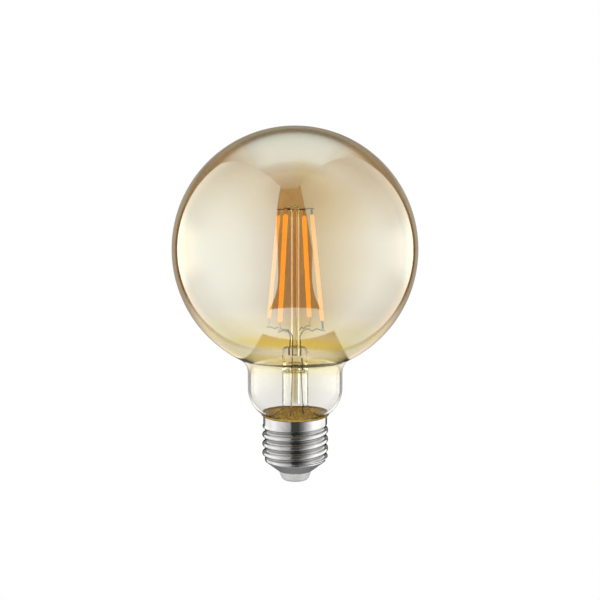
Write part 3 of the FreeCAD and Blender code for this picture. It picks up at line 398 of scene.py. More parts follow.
def phosphor():
    """Silicone coat with a painted glow: an even orange emission with faint hot spots over the chips below
    it.
    """
    material, nodes = new_material("phosphor")
    chip_pitch = 0.00145
    _, _, level = nodes.axes()
    chips = nodes.maths("SINE", nodes.times(level, 2 * math.pi / chip_pitch))
    grain = nodes.noise(2600.0, 4.0)
    patches = nodes.smooth(grain, 0.3, 0.7)
    # painted glow: the coat emits its orange, a little stronger in patches and over the chips
    glow = nodes.plus(nodes.times(chips, 0.05), nodes.smooth(grain, 0.3, 0.7, 1.0, 1.18))
    colour = nodes.blend(patches, rgba(1.0, 0.50, 0.07), rgba(1.0, 0.55, 0.10))
    normal = nodes.bump(grain, 0.25, 0.00006)
    nodes.finish(nodes.principled(Base_Color=rgba(0.86, 0.42, 0.07), Roughness=0.5, Normal=normal,
                                  Emission_Color=colour, Emission_Strength=nodes.times(glow, 1.15)))
    return material


def thread_root(nodes):
    """Share of the thread's root: one in the middle of the groove, zero on the crests and on the band."""
    across, depth, level = nodes.axes()
    turn = nodes.maths("DIVIDE", nodes.maths("ARCTAN2", depth, across), 2 * math.pi)
    phase = nodes.maths("DIVIDE", nodes.minus(level, THREAD_PHASE * MM), THREAD_PITCH * MM)
    phase = nodes.maths("FRACT", nodes.plus(nodes.minus(phase, turn), 10.0))
    off_root = nodes.size(nodes.minus(phase, 0.5))
    return nodes.times(nodes.smooth(off_root, 0.17, 0.05), nodes.smooth(level, 0.0218, 0.0206))


def plated_shell():
    """Bright nickel plate with rolling lines round the cap, and painted shade darkening the roots of the
    thread.
    """
    material, nodes = new_material("plated_shell")
    lines = nodes.noise(60.0, 4.0, nodes.stretched((1.0, 1.0, 90.0)))
    cloud = nodes.noise(420.0, 4.0)
    colour = nodes.blend(nodes.smooth(cloud, 0.35, 0.75), rgba(0.48, 0.475, 0.47), rgba(0.42, 0.415, 0.41))
    # painted shade: the roots of the thread are darkened nearly to black
    colour = nodes.blend(nodes.times(thread_root(nodes), 0.75), colour, rgba(0.05, 0.047, 0.045))
    # the outlines turn to the unlit room and go dark
    square = nodes.smooth(nodes.facing(), 0.82, 0.62)
    colour = nodes.blend(square, rgba(0.02, 0.02, 0.02), colour)
    gloss = nodes.smooth(nodes.times(lines, cloud), 0.1, 0.4, 0.07, 0.17)
    normal = nodes.bump(lines, 0.10, 0.00003)
    nodes.finish(nodes.principled(Base_Color=colour, Metallic=square, Roughness=gloss, Normal=normal,
                                  Specular_IOR_Level=nodes.times(square, 0.5)))
    return material


def granular(name, dark, mid, light, scale, bare=1.0):
    """Coarse set cement: pale and dark grains in a brown binder.

    bare is the share of its colour that it keeps where it lies bare, outside the glass.
    """
    material, nodes = new_material(name)
    cells = nodes.cells(scale)
    grain = nodes.noise(scale * 1.7, 6.0, rough=0.7)
    body = nodes.blend(nodes.smooth(grain, 0.40, 0.60), rgba(*dark), rgba(*mid))
    colour = nodes.blend(nodes.smooth(cells, 0.32, 0.08, 0.0, 0.7), body, rgba(*light))
    # darker towards black where it lies bare, more than about 12.3 mm from the axis
    bare_darkening = nodes.smooth(nodes.off_axis(), 0.0122, 0.0125, 0.0, 1.0 - bare)
    colour = nodes.blend(bare_darkening, colour, rgba(0.02, 0.015, 0.008))
    normal = nodes.bump(nodes.minus(grain, nodes.times(cells, 0.8)), 0.9, 0.0003)
    nodes.finish(nodes.principled(Base_Color=colour, Roughness=0.75, Normal=normal))
    return material


def wound_copper():
    """Enamelled wire laid in turns round the choke, with painted shade in the grooves between the turns."""
    material, nodes = new_material("copper")
    wire_pitch = 0.00035
    _, depth, _ = nodes.axes()
    turns = nodes.maths("SINE", nodes.times(depth, 2 * math.pi / wire_pitch))
    # painted shade: the colour darkens in the grooves between the turns
    colour = nodes.blend(nodes.smooth(turns, -1.0, 0.4), rgba(0.22, 0.07, 0.03), rgba(0.72, 0.30, 0.13))
    normal = nodes.bump(turns, 0.8, 0.00008)
    nodes.finish(nodes.principled(Base_Color=colour, Metallic=0.9, Roughness=0.3, Normal=normal,
                                  Coat_Weight=0.6))
    return material


def banded_resistor():
    """Painted barrel with generic colour bands near its ends."""
    material, nodes = new_material("resistor_coat")
    _, _, level = nodes.axes()
    bands = ((0.0104, (0.35, 0.12, 0.04)), (0.0114, (0.02, 0.02, 0.02)), (0.0131, (0.6, 0.4, 0.05)))
    colour = rgba(0.16, 0.36, 0.40)
    for height, band in bands:
        gap = nodes.size(nodes.minus(level, height))
        colour = nodes.blend(nodes.smooth(gap, 0.0003, 0.00025), colour, rgba(*band))
    grain = nodes.noise(900.0, 3.0)
    gloss = nodes.smooth(grain, 0.3, 0.7, 0.25, 0.4)
    normal = nodes.bump(grain, 0.2, 0.00004)
    nodes.finish(nodes.principled(Base_Color=colour, Roughness=gloss, Normal=normal))
    return material


def circuit_board():
    """Green solder mask over copper tracks on woven glass."""
    material, nodes = new_material("board")
    tracks = nodes.cells(420.0, feature="DISTANCE_TO_EDGE")
    weave = nodes.noise(1500.0, 3.0, nodes.stretched((1.0, 1.0, 0.3)))
    mask = nodes.blend(nodes.smooth(weave, 0.3, 0.7), rgba(0.012, 0.12, 0.045), rgba(0.02, 0.17, 0.06))
    colour = nodes.blend(nodes.smooth(tracks, 0.08, 0.05), mask, rgba(0.05, 0.26, 0.09))
    normal = nodes.bump(nodes.smooth(tracks, 0.05, 0.09), 0.4, 0.00004)
    nodes.finish(nodes.principled(Base_Color=colour, Roughness=0.3, Normal=normal, Coat_Weight=0.4))
    return material


def make_materials():
    across_can = (8.0, 1.0, 1.0)
    round_contact = (1.0, 1.0, 6.0)
    made = [
        amber_glass(), clear_glass(), phosphor(), plated_shell(), wound_copper(), banded_resistor(),
        circuit_board(),
        granular("cement", (0.30, 0.18, 0.04), (0.85, 0.55, 0.12), (1.0, 0.85, 0.40), 1300.0, 0.42),
        granular("potting", (0.20, 0.12, 0.025), (0.80, 0.52, 0.12), (1.0, 0.85, 0.40), 1000.0),
        metal_shaded_on_right("lead_wire", ((0.40, 0.28, 0.15), (0.26, 0.18, 0.09)),
                  ((0.10, 0.075, 0.06), (0.04, 0.03, 0.025)), 0.5),
        metal_shaded_on_right("strip_tab", ((0.95, 0.92, 0.80), (0.80, 0.76, 0.62)),
                  ((0.12, 0.11, 0.09), (0.05, 0.045, 0.04)), 0.1, True),
        grained("support_wire", (0.26, 0.11, 0.06), (0.10, 0.045, 0.03), 2200.0, (0.3, 0.5), 1.0, 0.3),
        grained("strip_carrier", (0.85, 0.83, 0.78), (0.75, 0.72, 0.66), 1800.0, (0.3, 0.45)),
        grained("contact_metal", (0.44, 0.44, 0.437), (0.39, 0.39, 0.386), 500.0, (0.4, 0.55), 0.4, 0.15,
                0.00004, round_contact),
        grained("insulator", (0.19, 0.19, 0.19), (0.16, 0.16, 0.16), 1100.0, (0.75, 0.85), 0.0, 0.3,
                Specular_IOR_Level=0.12),
        grained("sleeve_film", (0.80, 0.79, 0.74), (0.70, 0.69, 0.63), 300.0, (0.35, 0.5)),
        grained("chip", (0.020, 0.020, 0.022), (0.035, 0.035, 0.037), 2600.0, (0.55, 0.75), 0.0, 0.4),
        grained("capacitor_sleeve", (0.012, 0.018, 0.05), (0.02, 0.028, 0.07), 700.0, (0.2, 0.35)),
        grained("ceramic_chip", (0.42, 0.30, 0.19), (0.34, 0.24, 0.15), 2500.0, (0.4, 0.6)),
        grained("ferrite", (0.035, 0.035, 0.038), (0.06, 0.06, 0.06), 1900.0, (0.45, 0.7), 0.0, 0.4),
        grained("tin_can", (0.62, 0.63, 0.62), (0.50, 0.51, 0.50), 600.0, (0.2, 0.4), 1.0, 0.1, 0.00004,
                across_can),
        grained("header_plastic", (0.018, 0.018, 0.018), (0.03, 0.03, 0.03), 2000.0, (0.4, 0.6)),
        grained("wire_insulation", (0.62, 0.60, 0.55), (0.50, 0.48, 0.44), 1200.0, (0.3, 0.45)),
        grained("solder", (0.48, 0.48, 0.50), (0.30, 0.30, 0.32), 1500.0, (0.25, 0.5), 1.0, 0.3),
    ]
    return {material.name.split(".")[0]: material for material in made}


# ---------------------------------------------------------------- mesh helpers

def mesh_piece(name, points, faces, slot, replaces):
    """A mesh from points in millimetres, riding on the lamp and standing for its CAD nodes."""
    mesh = bpy.data.meshes.new(name)
    mesh.from_pydata([Vector(point) * MM for point in points], [], faces)
    mesh.validate()
    mesh.polygons.foreach_set("use_smooth", [True] * len(mesh.polygons))
    mesh.set_sharp_from_angle(angle=SHARP_ANGLE)
    mesh.materials.append(MATERIALS[slot])
    piece = bpy.data.objects.new(name, mesh)
    bpy.context.scene.collection.objects.link(piece)
    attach(piece, BODY)
    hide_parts(*replaces)


def arc_points(centre, radius, start, end, count):
    """Points along an arc, in degrees, both ends included."""
    spots = []
    for step in range(count + 1):
        turn = math.radians(start + (end - start) * step / count)
        spots.append((centre[0] + radius * math.cos(turn), centre[1] + radius * math.sin(turn)))
    return spots


def run_points(start, end, count):
    return [(start[0] + (end[0] - start[0]) * step / count, start[1] + (end[1] - start[1]) * step / count)
            for step in range(count + 1)]


def joined(*runs):
    """Runs of points end to end, with the points that they share kept once."""
    outline = []
    for run in runs:
        for point in run:
            if not outline or math.dist(outline[-1], point) > SAME_POINT:
                outline.append(point)
    return outline


def heading(centre, point):
    return math.degrees(math.atan2(point[1] - centre[1], point[0] - centre[0]))


def ease(start, end, level):
    """A smooth step from zero at start to one at end."""
    share = min(max((level - start) / (end - start), 0.0), 1.0)
    return share * share * (3.0 - 2.0 * share)


def lathe(outline, turns, closed=False, shift=None):
    """Points and faces of an outline (radius, height) turned about the lamp's axis.

    An end on the axis becomes one point. A closed outline joins its last ring to its first.
    shift moves a ring point: it takes radius, height and angle and gives a new radius and height.
    """
    points = []
    rings = []
    for radius, height in outline:
        if radius < SAME_POINT:
            rings.append([len(points)] * turns)
            points.append((0.0, 0.0, height))
            continue
        ring = []
        for turn in range(turns):
            angle = 2 * math.pi * turn / turns
            out, level = shift(radius, height, angle) if shift else (radius, height)
            ring.append(len(points))
            points.append((out * math.cos(angle), out * math.sin(angle), level))
        rings.append(ring)
    faces = []
    pairs = list(zip(rings, rings[1:])) + ([(rings[-1], rings[0])] if closed else [])
    for upper, lower in pairs:
        for turn in range(turns):
            after = (turn + 1) % turns
            corners = [upper[turn], lower[turn], lower[after], upper[after]]
            faces.append(tuple(dict.fromkeys(corners)))
    return points, faces


def smooth_path(route):
    """A Catmull-Rom curve through the route's points."""
    spots = [Vector(spot) for spot in route]
    ends = [spots[0] * 2 - spots[1]] + spots + [spots[-1] * 2 - spots[-2]]
    path = []
    for before, here, there, after in zip(ends, ends[1:], ends[2:], ends[3:]):
        for step in range(WIRE_STEPS):
            part = step / WIRE_STEPS
            curve = here * 2 + (there - before) * part
            curve += (before * 2 - here * 5 + there * 4 - after) * part**2
            curve += (here * 3 - before - there * 3 + after) * part**3
            path.append(curve / 2)
    return path + [spots[-1]]


def tube_faces(rings, sides):
    """Faces of a closed-ended tube of so many rings of points."""
    last = (rings - 1) * sides
    faces = [tuple(reversed(range(sides))), tuple(range(last, last + sides))]
    for low in range(0, last, sides):
        for step in range(sides):
            after = (step + 1) % sides
            faces.append((low + step, low + after, low + sides + after, low + sides + step))
    return faces


def wire_points(path):
    """Points of a round wire along a path, ring by ring."""
    points = []
    side = Vector((1, 0, 0)) if abs((path[1] - path[0]).normalized().x) < 0.8 else Vector((0, 1, 0))
    for index, spot in enumerate(path):
        ahead = path[min(index + 1, len(path) - 1)] - path[max(index - 1, 0)]
        ahead.normalize()
        side = (side - ahead * side.dot(ahead)).normalized()
        other = ahead.cross(side)
        for step in range(WIRE_SIDES):
            turn = 2 * math.pi * step / WIRE_SIDES
            points.append(spot + (side * math.cos(turn) + other * math.sin(turn)) * WIRE_RADIUS)
    return points


def wire(name, route, slot):
    path = smooth_path(route)
    mesh_piece(name + "_drawn", wire_points(path), tube_faces(len(path), WIRE_SIDES), slot, [name])


def swung(point, azimuth):
    """A point of the plane through the axis, turned to an azimuth in degrees."""
    turn = math.radians(azimuth)
    across, aside, height = point
    return (across * math.cos(turn) - aside * math.sin(turn),
            across * math.sin(turn) + aside * math.cos(turn), height)


# ---------------------------------------------------------------- glass

def envelope_centres():
    """Middles of the arcs of the glass outline: waist, shoulder and mouth."""
    waist_x = NECK_RADIUS + WAIST_FILLET
    reach = GLOBE_RADIUS + WAIST_FILLET
    waist = (waist_x, GLOBE_CENTRE - math.sqrt(reach**2 - waist_x**2))
    shoulder = (NECK_RADIUS - SHOULDER_RADIUS, SHOULDER_TOP)
    mouth_x = MOUTH_RADIUS + MOUTH_BLEND
    drop = math.sqrt((SHOULDER_RADIUS + MOUTH_BLEND) ** 2 - (mouth_x - shoulder[0]) ** 2)
    return waist, shoulder, (mouth_x, shoulder[1] - drop)


def envelope_skin(inset):
    """One skin of the envelope, from its crown to its mouth."""
    globe = (0.0, GLOBE_CENTRE)
    waist, shoulder, mouth = envelope_centres()
    low = heading(globe, waist)
    turn = heading(shoulder, mouth)
    neck = NECK_RADIUS - inset
    rim = MOUTH_RADIUS - inset
    return joined(
        [(0.0, GLOBE_CENTRE + GLOBE_RADIUS - inset)],
        arc_points(globe, GLOBE_RADIUS - inset, 89.0, low, 110),
        arc_points(waist, WAIST_FILLET + inset, low + 180.0, 180.0, 24),
        run_points((neck, waist[1]), (neck, SHOULDER_TOP), 6),
        arc_points(shoulder, SHOULDER_RADIUS - inset, 0.0, turn, 26),
        arc_points(mouth, MOUTH_BLEND + inset, turn + 180.0, 180.0, 10),
        run_points((rim, mouth[1]), (rim, MOUTH_END), 3),
    )


def glass_globe():
    outline = envelope_skin(0.0) + list(reversed(envelope_skin(GLASS_WALL)))
    points, faces = lathe(outline, 192)
    mesh_piece("globe_blown_glass", points, faces, "amber_glass", ["glass_globe"])


def stem_glass():
    """Flared tube with its pressed flat top, as one closed skin."""
    flare_bend = 3.2
    flare_top = 29.5
    corner = 1.9
    ledge = 1.9
    hollow_bend = 2.0
    hollow_side = 42.5
    press_start, press_end = 43.8, 47.2
    inner = STEM_RADIUS - STEM_WALL
    edge = MOUTH_RADIUS - GLASS_WALL
    slope = math.tan(math.radians(60.0))

    def skirt(radius):
        bend = arc_points((STEM_RADIUS + flare_bend, flare_top), radius, 180.0, 240.0, 14)
        start = bend[-1]
        return bend + [(edge, start[1] - (edge - start[0]) / slope)]

    crown = arc_points((STEM_RADIUS - corner, PINCH_TOP - corner), corner, 90.0, 0.0, 8)
    outside = joined([(0.0, PINCH_TOP)], run_points((ledge, PINCH_TOP), crown[0], 2), crown,
                     run_points((STEM_RADIUS, PINCH_TOP - corner), (STEM_RADIUS, flare_top), 20),
                     skirt(flare_bend))
    hollow = arc_points((inner - hollow_bend, hollow_side), hollow_bend, 0.0, 90.0, 6)
    hollow_top = hollow_side + hollow_bend
    inside = joined(skirt(flare_bend + STEM_WALL)[::-1],
                    run_points((inner, flare_top), (inner, hollow_side), 8), hollow,
                    [(ledge, hollow_top), (0.0, hollow_top)])

    def pressed(radius, height, angle):
        flat = (PINCH_HALF_THICK + 0.1) / STEM_RADIUS
        squeeze = 1.0 - (1.0 - flat) * ease(press_start, press_end, height)
        across = radius * math.cos(angle)
        along = radius * math.sin(angle) * (squeeze if radius > 2.0 else 1.0)
        return math.hypot(across, along), height

    points, faces = lathe(outside + inside, 96, shift=pressed)
    mesh_piece("stem_pressed_glass", points, faces, "clear_glass", ["stem_flare"])


def exhaust_glass():
    wall = 0.6
    radius = 1.9
    outline = joined([(0.0, 20.4)], arc_points((radius - 1.5, 22.2), 1.5, -75.0, 0.0, 6),
                     run_points((radius, 22.4), (radius, 45.4), 12), [(radius - wall, 45.4)],
                     run_points((radius - wall, 45.3), (radius - wall, 23.4), 12), [(0.0, 22.0)])
    points, faces = lathe(outline, 48)
    mesh_piece("exhaust_drawn_glass", points, faces, "clear_glass", ["exhaust_tube"])


def pillar_glass():
    """Drawn rod that swells into the bead round the two link wires."""
    bead = 1.95
    centre = 106.0
    foot = 49.5
    low = -math.degrees(math.acos(PILLAR_RADIUS / bead)) + 4.0
    outline = joined([(0.0, foot)], run_points((PILLAR_RADIUS, foot), (PILLAR_RADIUS, 104.0), 30),
                     arc_points((0.0, centre), bead, low, 88.0, 20), [(0.0, centre + bead)])

    def drawn(radius, height, angle):
        swell = 0.012 * math.sin(height * 0.35) + 0.006 * math.sin(height * 1.1 + angle)
        return radius * (1.0 + swell), height

    points, faces = lathe(outline, 48, shift=drawn)
    mesh_piece("pillar_drawn_glass", points, faces, "clear_glass", ["support_pillar"])


# ---------------------------------------------------------------- wires and light strips

def link_wires():
    """Each wire joins the tops of two neighbouring strips through the pillar's bead."""
    for name, first in (("upper_link_wire_right", "front_right"), ("upper_link_wire_left", "back_left")):
        azimuth = STRIP_AZIMUTHS[first]
        half = [(8.0, 0.36, 106.45), (6.6, 0.30, 106.6), (4.2, 0.42, 106.5), (1.4, 0.38, 106.35)]
        mirrored = [(aside, across, height) for across, aside, height in reversed(half)]
        route = half + [(0.5, 0.5, 106.3)] + mirrored
        wire(name, [swung(spot, azimuth) for spot in route], "support_wire")


def lower_wires():
    """Wavy wires from the pinch out to the strip feet, each bent a little differently."""
    bends = {
        "front_right": (0.35, 0.5, -0.3, 0.55, 0.0),
        "back_right": (-0.2, 0.3, -0.45, 0.25, 0.2),
        "back_left": (0.25, -0.35, 0.5, -0.2, 0.15),
        "front_left": (-0.3, 0.45, -0.15, 0.4, -0.1),
    }
    for place, (one, two, three, four, aside) in bends.items():
        route = [(2.35, 0.0, 49.3), (2.35, 0.0, 52.8), (2.3, 0.0, 54.6), (2.1, aside * 0.5, 56.4),
                 (2.6, aside, 57.8), (3.8, aside, 59.0 + one), (5.6, aside * 0.6, 59.6 + two),
                 (7.4, 0.2, 59.6 + three), (9.2, 0.0, 59.7 + four), (11.2, 0.0, 59.95), (12.1, 0.0, 59.9),
                 (13.1, 0.0, 59.75)]
        wire("lower_wire_" + place, [swung(spot, STRIP_AZIMUTHS[place]) for spot in route], "support_wire")


def lead_wires():
    """Leads slant down inside the stem, pass the potting and end on the driver board."""
    slant = [(2.35, 0.0, 48.4), (2.35, 0.0, 45.0), (2.4, 0.0, 42.0), (2.62, 0.0, 37.0), (2.9, 0.0, 31.0),
             (3.08, 0.0, 27.5)]
    straight = slant + [(3.1, 0.0, 25.0), (3.1, 0.0, 22.0), (3.1, 0.0, 19.7)]
    bent = slant + [(3.1, 0.0, 25.0), (3.1, 0.0, 20.6), (2.4, 0.0, 19.5), (1.1, 0.0, 18.7), (0.94, 0.0, 17.7)]
    for name, azimuth, route in (("common_lead_wire", 0.0, straight), ("warm_lead_wire", 120.0, bent),
                                 ("cool_lead_wire", 240.0, bent)):
        wire(name, [swung(spot, azimuth) for spot in route], "lead_wire")


def strip_coats():
    """Rounded silicone coats, swollen a little unevenly, closing on the metal tabs at both ends."""
    axis = STRIP_TOP - STRIP_FOOT
    length = axis.length
    axis.normalize()
    outward = axis.cross(Vector((0, 1, 0))).normalized()
    half_wide, half_thick = 0.95, 0.57
    rings, sides = 90, 28
    rng = random.Random(7)
    for place, azimuth in STRIP_AZIMUTHS.items():
        phase = rng.uniform(0.0, 6.0)
        points = []
        for ring in range(rings + 1):
            part = ring / rings
            end = min(part, 1.0 - part) * length
            close = math.sqrt(max(1.0 - (1.0 - min(end / 1.1, 1.0)) ** 2, 0.0)) * 0.62 + 0.38
            swell = 1.0 + 0.03 * math.sin(part * 23.0 + phase) + 0.02 * math.sin(part * 61.0 + phase * 2)
            spot = STRIP_FOOT + axis * (length * part)
            for side in range(sides):
                turn = 2 * math.pi * side / sides
                across = math.copysign(abs(math.cos(turn)) ** 0.62, math.cos(turn)) * half_wide
                thick = math.copysign(abs(math.sin(turn)) ** 0.62, math.sin(turn)) * half_thick
                place_at = spot + Vector((0, 1, 0)) * across * close * swell + outward * thick * close * swell
                points.append(swung(place_at, azimuth))
        name = "filament_" + place + "_phosphor"
        mesh_piece(name + "_coat", points, tube_faces(rings + 1, sides), "phosphor", [name])


# ---------------------------------------------------------------- cap

def thread_wave(phase):
    offset = (phase + THREAD_PITCH / 2) % THREAD_PITCH - THREAD_PITCH / 2
    if abs(offset) <= THREAD_PITCH / 4:
        return math.sqrt(THREAD_ARC**2 - offset**2) - THREAD_ARC
    away = THREAD_PITCH / 2 - abs(offset)
    return THREAD_ARC - math.sqrt(THREAD_ARC**2 - away**2) - THREAD_DEPTH


def shell_radius(height, angle):
    """Outside radius of the rolled shell at a height and an angle."""
    wave = thread_wave(height - THREAD_PHASE - THREAD_PITCH * angle / (2 * math.pi)) + THREAD_DEPTH / 2
    middle = THREAD_CREST - THREAD_DEPTH / 2
    low = ease(SHELL_END + 0.3, SHELL_END + THREAD_RUN_OUT, height)
    high = ease(BAND_END, BAND_END - THREAD_RUN_OUT, height)
    mean = SHELL_END_RADIUS + (middle - SHELL_END_RADIUS) * low
    mean += (BAND_RADIUS - mean) * (1.0 - high)
    return mean + wave * low * high


def screw_shell():
    rows = 240
    outer = [SHELL_RIM - (SHELL_RIM - SHELL_END) * row / rows for row in range(rows + 1)]
    inner_rows = 90
    inner = [SHELL_END + (SHELL_RIM - SHELL_END) * row / inner_rows for row in range(inner_rows + 1)]
    outline = [(1.0, height) for height in outer] + [(2.0, height) for height in inner]

    def rolled(mark, height, angle):
        radius = shell_radius(height, angle)
        if mark < 1.5:
            edge = min(SHELL_RIM - height, height - SHELL_END)
            return radius - 0.1 * (1.0 - min(edge / 0.12, 1.0)) ** 2, height
        slope = (shell_radius(height + 0.05, angle) - shell_radius(height - 0.05, angle)) / 0.1
        return radius - SHELL_WALL * math.sqrt(1.0 + min(slope * slope, 0.8)), height

    points, faces = lathe(outline, 240, closed=True, shift=rolled)
    mesh_piece("shell_rolled", points, faces, "plated_shell", ["screw_shell"])


def lumpy(amount, seed):
    """A ring shift that roughens a turned piece with a few uneven waves."""
    rng = random.Random(seed)
    waves = [(rng.randint(3, 40), rng.uniform(0.0, 6.3), rng.uniform(0.3, 1.0)) for _ in range(14)]

    def shift(radius, height, angle):
        swell = sum(size * math.sin(count * angle + phase + height * (1.0 + size))
                    for count, phase, size in waves)
        return radius + amount * swell / 5.0, height + amount * 0.7 * math.sin(swell * 2.0 + radius * 3.0)

    return shift


def cement_bead():
    """Cement squeezed out between the shell's rim and the glass."""
    _, shoulder, mouth = envelope_centres()
    turn = heading(shoulder, mouth)
    meet = math.degrees(math.asin((CEMENT_TOP - SHOULDER_TOP) / SHOULDER_RADIUS))
    wall = BAND_RADIUS - SHELL_WALL
    bite = 0.03
    glass = arc_points(shoulder, SHOULDER_RADIUS - bite, meet, turn, 8)
    blend = arc_points(mouth, MOUTH_BLEND + bite, turn + 180.0, 180.0, 6)
    bulge = [(12.35, 25.62), (12.75, 25.66), (13.05, 25.75), (13.25, 25.95), (13.34, 26.2), (13.36, 26.42)]
    roughen = lumpy(0.07, 3)

    def shift(radius, height, angle):
        if 25.64 < height < CEMENT_TOP + 0.2 and radius > 12.7:
            return roughen(radius, height, angle)
        return radius, height

    outline = joined(glass, blend, [(MOUTH_RADIUS + 0.02, 23.3), (wall, 23.3), (wall, 25.4)], bulge)
    points, faces = lathe(outline, 180, closed=True, shift=shift)
    mesh_piece("cement_bead", points, faces, "cement", ["capping_cement"])


def potting_fill():
    """Granular filler seen through the glass where the stem's skirt spreads."""
    edge = MOUTH_RADIUS - GLASS_WALL - 0.1
    bore = 1.96
    bottom = 22.1
    outline = joined(run_points((bore, 26.0), (5.6, 26.0), 12), run_points((6.2, 25.8), (edge, 23.45), 14),
                     [(edge, bottom), (bore, bottom)])
    roughen = lumpy(0.09, 5)

    def shift(radius, height, angle):
        if height > 22.3 and 2.2 < radius < edge - 0.2:
            return radius, roughen(radius, height, angle)[1] - 0.08
        return radius, height

    points, faces = lathe(outline, 120, closed=True, shift=shift)
    mesh_piece("potting_fill", points, faces, "potting", ["potting_compound"])


# ---------------------------------------------------------------- studio

def trace(curve, marks):
    """Lay a curve's points over a run of places and levels."""
    points = curve.points
    while len(points) < len(marks):
        points.new(0.5, 0.5)
    for point, mark in zip(points, marks):
        point.location = mark


class Sky(Nodes):
    """A node writer for the world, with each ray's direction at hand as parts and in degrees."""

    def __init__(self, tree):
        super().__init__(tree)
        split = self.add("ShaderNodeSeparateXYZ")
        self.plug(split.inputs[0], self.add("ShaderNodeTexCoord").outputs["Generated"])
        self.across, self.depth, self.rise = split.outputs
        self.ahead = self.times(self.depth, -1.0)
        self.lift = self.times(self.maths("ARCSINE", self.rise), DEGREES)
        self.off_level = self.size(self.lift)
        self.aside = self.size(self.times(self.maths("ARCTAN2", self.across, self.ahead), DEGREES))
        self.right = self.maths("GREATER_THAN", self.across, 0.0)
        self.path = self.add("ShaderNodeLightPath").outputs
        self.polished = self.path["Is Singular Ray"]

    def sided(self, left_value, right_value):
        return self.plus(left_value, self.times(self.right, right_value - left_value))


def diffuser_faces(sky):
    """Shares of what lies beside the viewer's gap and under the diffusers' tops."""
    upward = sky.maths("MAXIMUM", sky.lift, 0.0)
    downward = sky.size(sky.maths("DIVIDE", sky.maths("MINIMUM", sky.lift, 0.0), 47.0))
    edge = sky.plus(sky.sided(14.7, 15.4), sky.times(upward, sky.sided(0.09, -0.128)))
    edge = sky.plus(edge, sky.times(sky.maths("POWER", downward, 4.0), 12.5))
    beside_gap = sky.smooth(sky.minus(sky.aside, edge), -0.6, 0.6)
    below_gap = sky.smooth(sky.lift, -51.0, -52.5)
    # the level tops look curved from the lamp
    off_square = sky.maths("DIVIDE", sky.minus(sky.aside, sky.sided(67.5, 65.0)), DEGREES)
    top = sky.times(sky.maths("COSINE", off_square), sky.sided(2.25, 3.1))
    top = sky.times(sky.maths("ARCTANGENT", top), DEGREES)
    return sky.maths("MAXIMUM", beside_gap, below_gap), sky.smooth(sky.minus(sky.lift, top), 0.8, -0.8)


def diffuser_glow(sky):
    """How bright the diffusers are: rising outwards, and falling off above, below and far back."""
    clear = sky.smooth(sky.aside, -30.0, sky.sided(65.0, 90.0), sky.sided(0.66, 0.70), sky.sided(2.35, 2.12))
    dull = sky.smooth(sky.aside, sky.sided(-20.0, 16.0), sky.sided(110.0, 84.0), sky.sided(0.25, 0.12),
                      sky.sided(2.05, 2.3))
    glow = sky.plus(sky.times(clear, sky.polished), sky.times(dull, sky.minus(1.0, sky.polished)))
    above = sky.smooth(sky.lift, 0.0, sky.sided(72.0, 50.0), 1.0, sky.sided(0.46, 0.52))
    below = sky.smooth(sky.lift, -15.0, -85.0, 1.0, 0.62)
    far = sky.times(sky.smooth(sky.aside, 72.0, 125.0), sky.smooth(sky.off_level, 4.0, 18.0))
    return sky.times(glow, above, below, sky.smooth(far, 0.0, 1.0, 1.0, 0.67, kind="LINEAR"))


def ceiling_glow(sky):
    """A soft ceiling, brightest just behind the zenith and dimmer to the sides."""
    tilt = sky.times(sky.maths("ARCTAN2", sky.rise, sky.ahead), DEGREES)
    curve = sky.add("ShaderNodeFloatCurve")
    sky.plug(curve.inputs["Value"], sky.maths("DIVIDE", tilt, 180.0))
    marks = [(angle / 180.0, level / CEILING_PEAK) for angle, level in CEILING_BY_TILT]
    trace(curve.mapping.curves[0], marks)
    narrow = sky.smooth(sky.size(sky.across), 0.25, 0.60, 1.0, 0.45)
    return sky.times(curve.outputs[0], CEILING_PEAK, sky.smooth(sky.lift, 8.0, 30.0), narrow)


def stand_mouth(sky):
    """Share of the dark opening below, a strip that runs back from under the lamp."""
    drop = sky.maths("MAXIMUM", sky.times(sky.rise, -1.0), 0.01)
    sideways = sky.maths("DIVIDE", sky.across, drop)
    back = sky.maths("DIVIDE", sky.depth, drop)
    from_left = sky.smooth(sky.plus(sideways, sky.times(back, 0.06)), -0.41, -0.38)
    from_right = sky.smooth(sideways, 0.50, 0.47)
    from_front = sky.smooth(back, -0.07, -0.03)
    return sky.times(from_left, from_right, from_front, sky.smooth(sky.rise, -0.05, -0.15))


def tent_glow(sky):
    """Brightness of the studio as mirrors see it."""
    beside, under_top = diffuser_faces(sky)
    outer = sky.minus(sky.aside, sky.sided(136.5, 139.0))
    outer = sky.plus(outer, sky.times(sky.lift, sky.sided(0.0, 0.05)))
    inside_outer = sky.smooth(outer, 0.8, -0.8)
    panel = sky.times(beside, under_top, inside_outer, diffuser_glow(sky))
    # paler walls behind, past a dark gap at each diffuser's outer edge, and a pale floor there
    wall = sky.times(sky.smooth(outer, 4.0, 10.0, 0.0, 0.40), sky.smooth(sky.lift, 24.0, 10.0))
    ground = sky.times(sky.smooth(outer, -0.5, 0.5), sky.smooth(sky.lift, -10.0, -26.0, 0.0, 0.68))
    over = sky.minus(1.0, sky.times(under_top, inside_outer))
    tent = sky.plus(sky.maths("MAXIMUM", panel, sky.plus(wall, ground)), sky.times(ceiling_glow(sky), over))
    tent = sky.times(tent, sky.minus(1.0, stand_mouth(sky)))
    return sky.plus(tent, sky.smooth(sky.polished, 0.0, 1.0, 0.09, 0.04))


